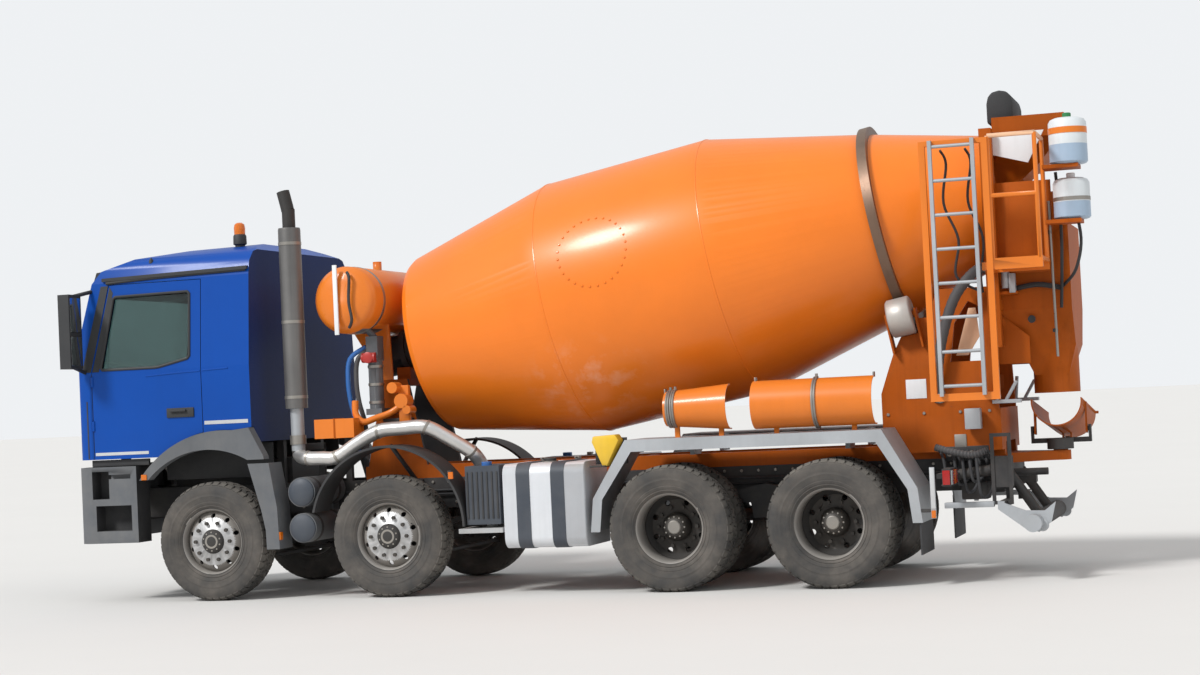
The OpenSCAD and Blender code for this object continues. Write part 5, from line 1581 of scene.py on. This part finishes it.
@dataclass
class RearEnd:
    """Hopper, funnel, chutes, ladder, platform and canisters, in distances behind the first axle."""

    moving: tuple[tuple[str, Surface], ...] = (
        ("chute_carrier", BLACK), ("chute", WORN_AND_SHADED_ORANGE), ("jack_barrel", BLACK), ("jack_rod", STEEL))
    hose_run: tuple[Point, ...] = (
        (6.905, -0.64, 2.56), (6.8, -0.69, 2.52), (6.64, -0.7, 2.33), (6.53, -0.7, 2.04),
        (6.47, -0.69, 1.75), (6.45, -0.57, 1.48))
    hose_r: float = 0.045
    hood_profile: tuple[Point, ...] = (
        (6.931, 3.775), (7.149, 3.775), (7.149, 3.94), (7.135, 4.0), (7.1, 4.038), (7.04, 4.05),
        (6.98, 4.038), (6.945, 4.0), (6.931, 3.94))
    canister_x: float = 7.625
    plain_canisters: tuple[Point, ...] = ((-0.78, 0.155, 3.34, 3.72), (-0.7, 0.15, 2.9, 3.24))
    straps: tuple[tuple[Surface, float, float, float, float], ...] = (
        (ORANGE, -0.78, 3.61, 0.025, 0.1548), (STEEL, -0.7, 3.065, 0.015, 0.1498))
    caps: tuple[tuple[Surface, float, float], ...] = ((GREEN, -0.78, 3.719), (WHITE, -0.7, 3.239))
    bands: tuple[Point, ...] = ((4.27, 0.152), (4.31, 0.156), (5.52, 0.207))
    chute_middle: Point = (-1.03, 1.52)
    handles: tuple[Point, ...] = ((4.22, 1.65), (5.0, 1.71), (5.99, 1.71))
    loops: tuple[Point, ...] = ((6.44, 0.86), (6.53, 0.8), (6.6, 0.74), (6.66, 0.82), (6.72, 0.7))
    level_tube: tuple[Point, ...] = (
        (1.33, -0.955, 2.86), (1.36, -0.985, 2.8), (1.35, -0.99, 2.6), (1.37, -0.985, 2.44),
        (1.33, -0.955, 2.37))
    pump_pipe: tuple[Point, ...] = (
        (1.3, -0.83, 1.72), (1.31, -0.85, 1.6), (1.38, -0.85, 1.53), (1.48, -0.8, 1.56), (1.6, -0.76, 1.6),
        (1.7, -0.74, 1.66))
    drop_hose: tuple[Point, ...] = (
        (0.15, -0.7, 2.2), (0.0, -0.72, 2.1), (-0.02, -0.74, 1.9), (0.0, -0.74, 1.7), (0.04, -0.72, 1.5),
        (0.02, -0.66, 1.2))
    rear_lines: tuple[tuple[float, int, tuple[Point, ...]], ...] = (
        (0.022, 10, ((7.12, -0.5, 2.38), (7.3, -0.52, 2.4), (7.5, -0.5, 2.36))),
        (0.013, 8, ((7.5, -0.62, 3.2), (7.62, -0.66, 3.05), (7.68, -0.68, 2.75), (7.62, -0.62, 2.5),
                    (7.5, -0.49, 2.38))),
        (0.013, 8, ((7.5, -0.64, 3.3), (7.52, -0.62, 2.8), (7.48, -0.52, 2.2))))

    def build(self) -> None:
        """Makes the rear pieces."""
        Refined("feed_hopper", "truck", WORN_AND_SHADED_ORANGE, leave_out=self.in_hood).build()
        made = Build("hopper_hood", AXLE_1)
        made.prism(self.hood_profile, -0.33, 0.33, RUBBER, 0.02)
        made.done("truck")
        Refined("discharge_funnel", "truck", WORN_AND_SHADED_ORANGE).build()
        Refined("stored_chutes", "truck", ORANGE).build()
        self.pedestal()
        self.chute_bands()
        top_rail = Zone(PALE_ORANGE, lambda p: p.z > 3.54)
        Refined("platform", "truck", ORANGE, (top_rail,)).build()
        Refined("ladder", "truck", DULL_ALLOY).build()
        pump = Zone(GREY_PLASTIC, lambda p: p.x > at(1.3) and p.z < 2.36 and -0.8 < p.y < -0.43)
        legs = Zone(BLACK, lambda p: p.x < at(1.07) and p.z < 1.49 and p.y > -0.801)
        Refined("water_tank", "truck", ORANGE, (pump, legs)).build()
        for node, finish in self.moving:
            Refined(node, node, finish).build()
        self.canisters()
        self.water_lines()
        self.rear_hoses()
        self.machinery()

    def in_hood(self, p: Vector) -> bool:
        """True for corners of the hopper's plain hood."""
        return p.z > 3.779 and p.x < at(7.151) and abs(p.y) < 0.331

    def in_hose(self, p: Vector) -> bool:
        """True for corners of the plain hose.

        Args:
            p: A corner in the part's frame.

        Returns:
            Whether it lies in the hose.
        """
        run = [Vector((at(x), y, z)) for x, y, z in self.hose_run]
        for a, b in zip(run, run[1:]):
            share = max(0.0, min(1.0, (p - a).dot(b - a) / (b - a).length_squared))
            if (p - a.lerp(b, share)).length < self.hose_r + 0.006:
                return True
        return False

    def pedestal(self) -> None:
        """Dresses the rear pedestal, runs its thick hose and adds the sign plate and fittings."""
        Refined("rear_pedestal", "truck", WORN_AND_SHADED_ORANGE, leave_out=self.in_hose).build()
        made = Build("rear_hose", AXLE_1)
        made.tube(self.hose_run, self.hose_r, HOSE, 20, 10, 0.003)
        run = [Vector(p) for p in self.hose_run]
        for p, q in ((run[0], run[1]), (run[-1], run[-2])):
            made.bar(p.lerp(q, 0.02), p.lerp(q, 0.3), self.hose_r + 0.006, STEEL, 24)
        made.done("truck")
        made = Build("pedestal_fittings", AXLE_1)
        made.box((6.18, -0.594, 1.51), (6.35, -0.589, 1.67), WHITE, 0.002)
        made.prism([(6.6, 1.85), (6.72, 2.24), (6.78, 2.24), (6.8, 2.0), (6.7, 1.85)], -0.52, -0.505,
                   PALE_ORANGE, 0.002)
        for _ in made.sides():
            for x in (6.02, 6.32, 6.62, 6.86):
                made.bolts((x, 0.588, 1.385), OUT, 0.0, 1, STEEL, 0.014, 0.012)
            made.box((6.67, 0.62, 1.24), (6.8, 0.73, 1.41), DULL_ALLOY, 0.008)
            made.box((6.9, 0.6, 1.44), (7.13, 0.7, 1.47), DULL_ALLOY, 0.003)
            made.bar((6.95, 0.66, 1.66), (6.93, 0.66, 1.45), 0.016, DULL_ALLOY, 12)
            made.bar((7.0, 0.66, 1.45), (7.1, 0.66, 1.62), 0.014, DULL_ALLOY, 12)
        made.bar((7.05, -0.62, 2.38), (7.05, -0.62, 2.55), 0.035, DULL_ALLOY, 20)
        made.box((7.08, -0.66, 2.34), (7.13, -0.58, 2.5), DULL_ALLOY, 0.006)
        made.box((6.99, -0.64, 2.33), (7.14, -0.49, 2.355), WORN_AND_SHADED_ORANGE, 0.003)
        made.done("truck")

    def chute_bands(self) -> None:
        """Adds clamps and handles on the stored chutes."""
        made = Build("chute_bands", AXLE_1)
        y, z = self.chute_middle
        for x, r in self.bands:
            arc = [(y - r * math.sin(a), z + r * math.cos(a)) for a in (math.pi * k / 16 for k in range(17))]
            for shift in (-0.009, 0.009):
                made.tube([(x + shift, *p) for p in arc], 0.01, STEEL, 8, 1)
            made.bar((x, y, z + r + 0.03), (x, y, z + r - 0.03), 0.012, STEEL, 10)
        for x, foot in self.handles:
            made.box((x, -1.06, foot), (x + 0.012, -1.0, foot + 0.04), STEEL, 0.003)
        made.done("truck")

    def canisters(self) -> None:
        """Rounded canisters with straps and caps on their brackets."""
        x = self.canister_x

        def in_canister(p: Vector) -> bool:
            """True for corners of the plain canisters."""
            return any(math.hypot(p.x - at(x), p.y - y) < r + 0.001 and z0 - 0.001 < p.z < z1 + 0.001
                       for y, r, z0, z1 in self.plain_canisters)

        Refined("canisters", "truck", WORN_AND_SHADED_ORANGE, leave_out=in_canister).build()
        made = Build("canister_fittings", AXLE_1)
        for y, r, z0, z1 in self.plain_canisters:
            level = z0 + 0.42 * (z1 - z0)
            wall = r - 0.003
            low = [(z0 + 0.001, wall - 0.03), (z0 + 0.006, wall - 0.012), (z0 + 0.02, wall), (level, wall)]
            high = [(level, wall), (z1 - 0.045, wall), (z1 - 0.018, wall - 0.016), (z1 - 0.004, wall - 0.05),
                    (z1 - 0.001, wall - 0.09)]
            made.lathe(low, (x, y, 0), UP, LIQUID)
            made.lathe(high, (x, y, 0), UP, CANISTER)
        for finish, y, z, half, r in self.straps:
            made.collar((x, y, z), UP, half, r - 0.005, r, finish)
        for finish, y, z in self.caps:
            made.cap((x, y, z), UP, 0.035, 0.039, 0.005, finish, 20)
        made.done("truck")

    def water_lines(self) -> None:
        """Level tube, pump and hoses under the water tank."""
        made = Build("water_fittings", AXLE_1)
        for y in (-0.7, 0.7):
            made.collar((1.27, y, 2.62), OUT, 0.02, 0.298, 0.304, STEEL, 64)
        made.box((1.2, -0.985, 2.31), (1.24, -0.965, 2.93), WHITE, 0.004)
        made.tube(self.level_tube, 0.014, RUBBER, 10, 5)
        for z in (1.7, 1.86, 2.02):
            made.collar((1.45, -0.69, z), UP, 0.012, 0.064, 0.071, STEEL, 28)
        made.bar((1.36, -0.765, 2.1), (1.49, -0.765, 2.1), 0.045, RED_PAINT, 20)
        made.lathe([(0, 0.05), (0.02, 0.05), (0.025, 0.04), (0.025, 0.0)],
                   (1.425, -0.79, 2.1), (0, -1, 0), RED_PAINT, 20)
        for x, z, r in ((1.66, 1.82, 0.05), (1.74, 1.7, 0.065), (1.79, 1.62, 0.04)):
            made.bar((x, -0.84, z), (x, -0.7, z), r, ORANGE, 20)
        made.box((1.68, -0.75, 1.5), (1.78, -0.7, 1.84), ORANGE, 0.01)
        made.box((1.52, -0.74, 1.52), (1.7, -0.44, 1.55), BLACK, 0.004)
        made.tube(self.pump_pipe, 0.03, ORANGE, 12, 5)
        made.box((1.155, -1.006, 1.395), (1.17, -0.79, 1.575), WORN_AND_SHADED_ORANGE, 0.003)
        for start, finish in ((1.22, BLUE_HOSE), (1.3, HOSE)):
            made.tube([(start + x, y, z) for x, y, z in self.drop_hose], 0.022, finish, 10, 5)
        made.done("truck")

    def rear_hoses(self) -> None:
        """Hoses and small parts at the rear, with thin dark sheets and a disc of painted shade."""
        made = Build("rear_fittings", AXLE_1)
        for _ in made.sides():
            made.prism([(6.94, 3.66), (7.42, 3.66), (7.28, 3.4), (6.94, 3.5)], 0.592, 0.6, WHITE, 0.001)
            # Thin dark orange sheets within the platform's frame and on the funnel's side are painted shade.
            made.box((6.98, 0.584, 2.5), (7.45, 0.5905, 3.25), WORN_AND_SHADED_ORANGE, 0.001)
            made.prism([(6.9, 1.76), (7.2, 1.76), (7.2, 1.98), (6.9, 2.24)], 0.44, 0.45, WORN_AND_SHADED_ORANGE, 0.001)
        for radius, facets, points in self.rear_lines:
            made.tube(points, radius, RUBBER, facets, 6)
        made.bar((7.44, -0.63, 1.8), (7.43, -0.63, 3.07), 0.011, STEEL, 10)
        for z in (2.0, 2.8):
            made.box((7.41, -0.64, z), (7.44, -0.49, z + 0.03), BLACK)
        # A thin black disc on the funnel's side is painted shade for the dark inside of a hole.
        made.lathe([(0, 0.032), (0.002, 0.032), (0.002, 0.0)], (7.23, -0.4795, 2.12), (0, -1, 0), RUBBER, 24)
        for x in (6.64, 6.84):
            made.tube([(x, -1.1, 3.5), (x + 0.02, -0.95, 3.4), (x - 0.04, -0.78, 3.1), (x + 0.06, -0.74, 2.8),
                       (x + 0.02, -0.68, 2.5), (6.86, -0.62, 2.36)], 0.011, RUBBER, 8, 7)
        made.done("truck")

    def machinery(self) -> None:
        """Adds valve blocks, cylinders and looping hoses under the pedestal."""
        made = Build("rear_hydraulics", AXLE_1)
        for _ in made.sides():
            made.box((6.48, 0.46, 0.98), (6.84, 0.6, 1.1), BLACK, 0.01)
            made.box((6.56, 0.52, 1.09), (6.66, 0.6, 1.2), STEEL, 0.008)
            for x in (6.52 + k * 0.09 for k in range(4)):
                made.bar((x, 0.6, 1.04), (x, 0.64, 1.04), 0.022, STEEL, 14)
            made.tube([(6.42, 0.7, 1.1), (6.56, 0.74, 1.06), (6.72, 0.74, 1.03), (6.84, 0.7, 1.06)],
                      0.032, HOSE, 14, 12, 0.006)
            for k, (x, drop) in enumerate(self.loops):
                wide = 0.02 * k
                made.tube([(x, 0.59, 1.06), (x + 0.03, 0.66 + wide, 1.0), (x + 0.06, 0.68 + wide, drop),
                           (x + 0.13, 0.66, drop + 0.03), (x + 0.16, 0.62, 0.96), (x + 0.12, 0.58, 1.04)],
                          0.013, RUBBER, 8, 8)
            made.bar((6.5, 0.66, 0.86), (6.86, 0.66, 0.9), 0.045, BLACK, 20)
            made.bar((6.45, 0.66, 0.856), (6.52, 0.66, 0.862), 0.02, STEEL, 14)
            made.box((6.6, 0.44, 0.66), (6.82, 0.62, 0.8), BLACK, 0.012)
        made.bar((6.98, -0.3, 0.86), (7.28, -0.3, 0.86), 0.03, BLACK, 20)
        made.done("truck")


def main() -> None:
    """Builds the truck's looks in order and reports each step."""
    logging.basicConfig(level=logging.INFO, format="%(name)s %(message)s")
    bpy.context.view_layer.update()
    Studio().build()
    for part in (Wheels(), Cab(), Drum(), Exhaust(), Chassis(), RearEnd()):
        part.build()
        LOG.info("%s done", type(part).__name__)


if __name__ == "__main__":
    main()
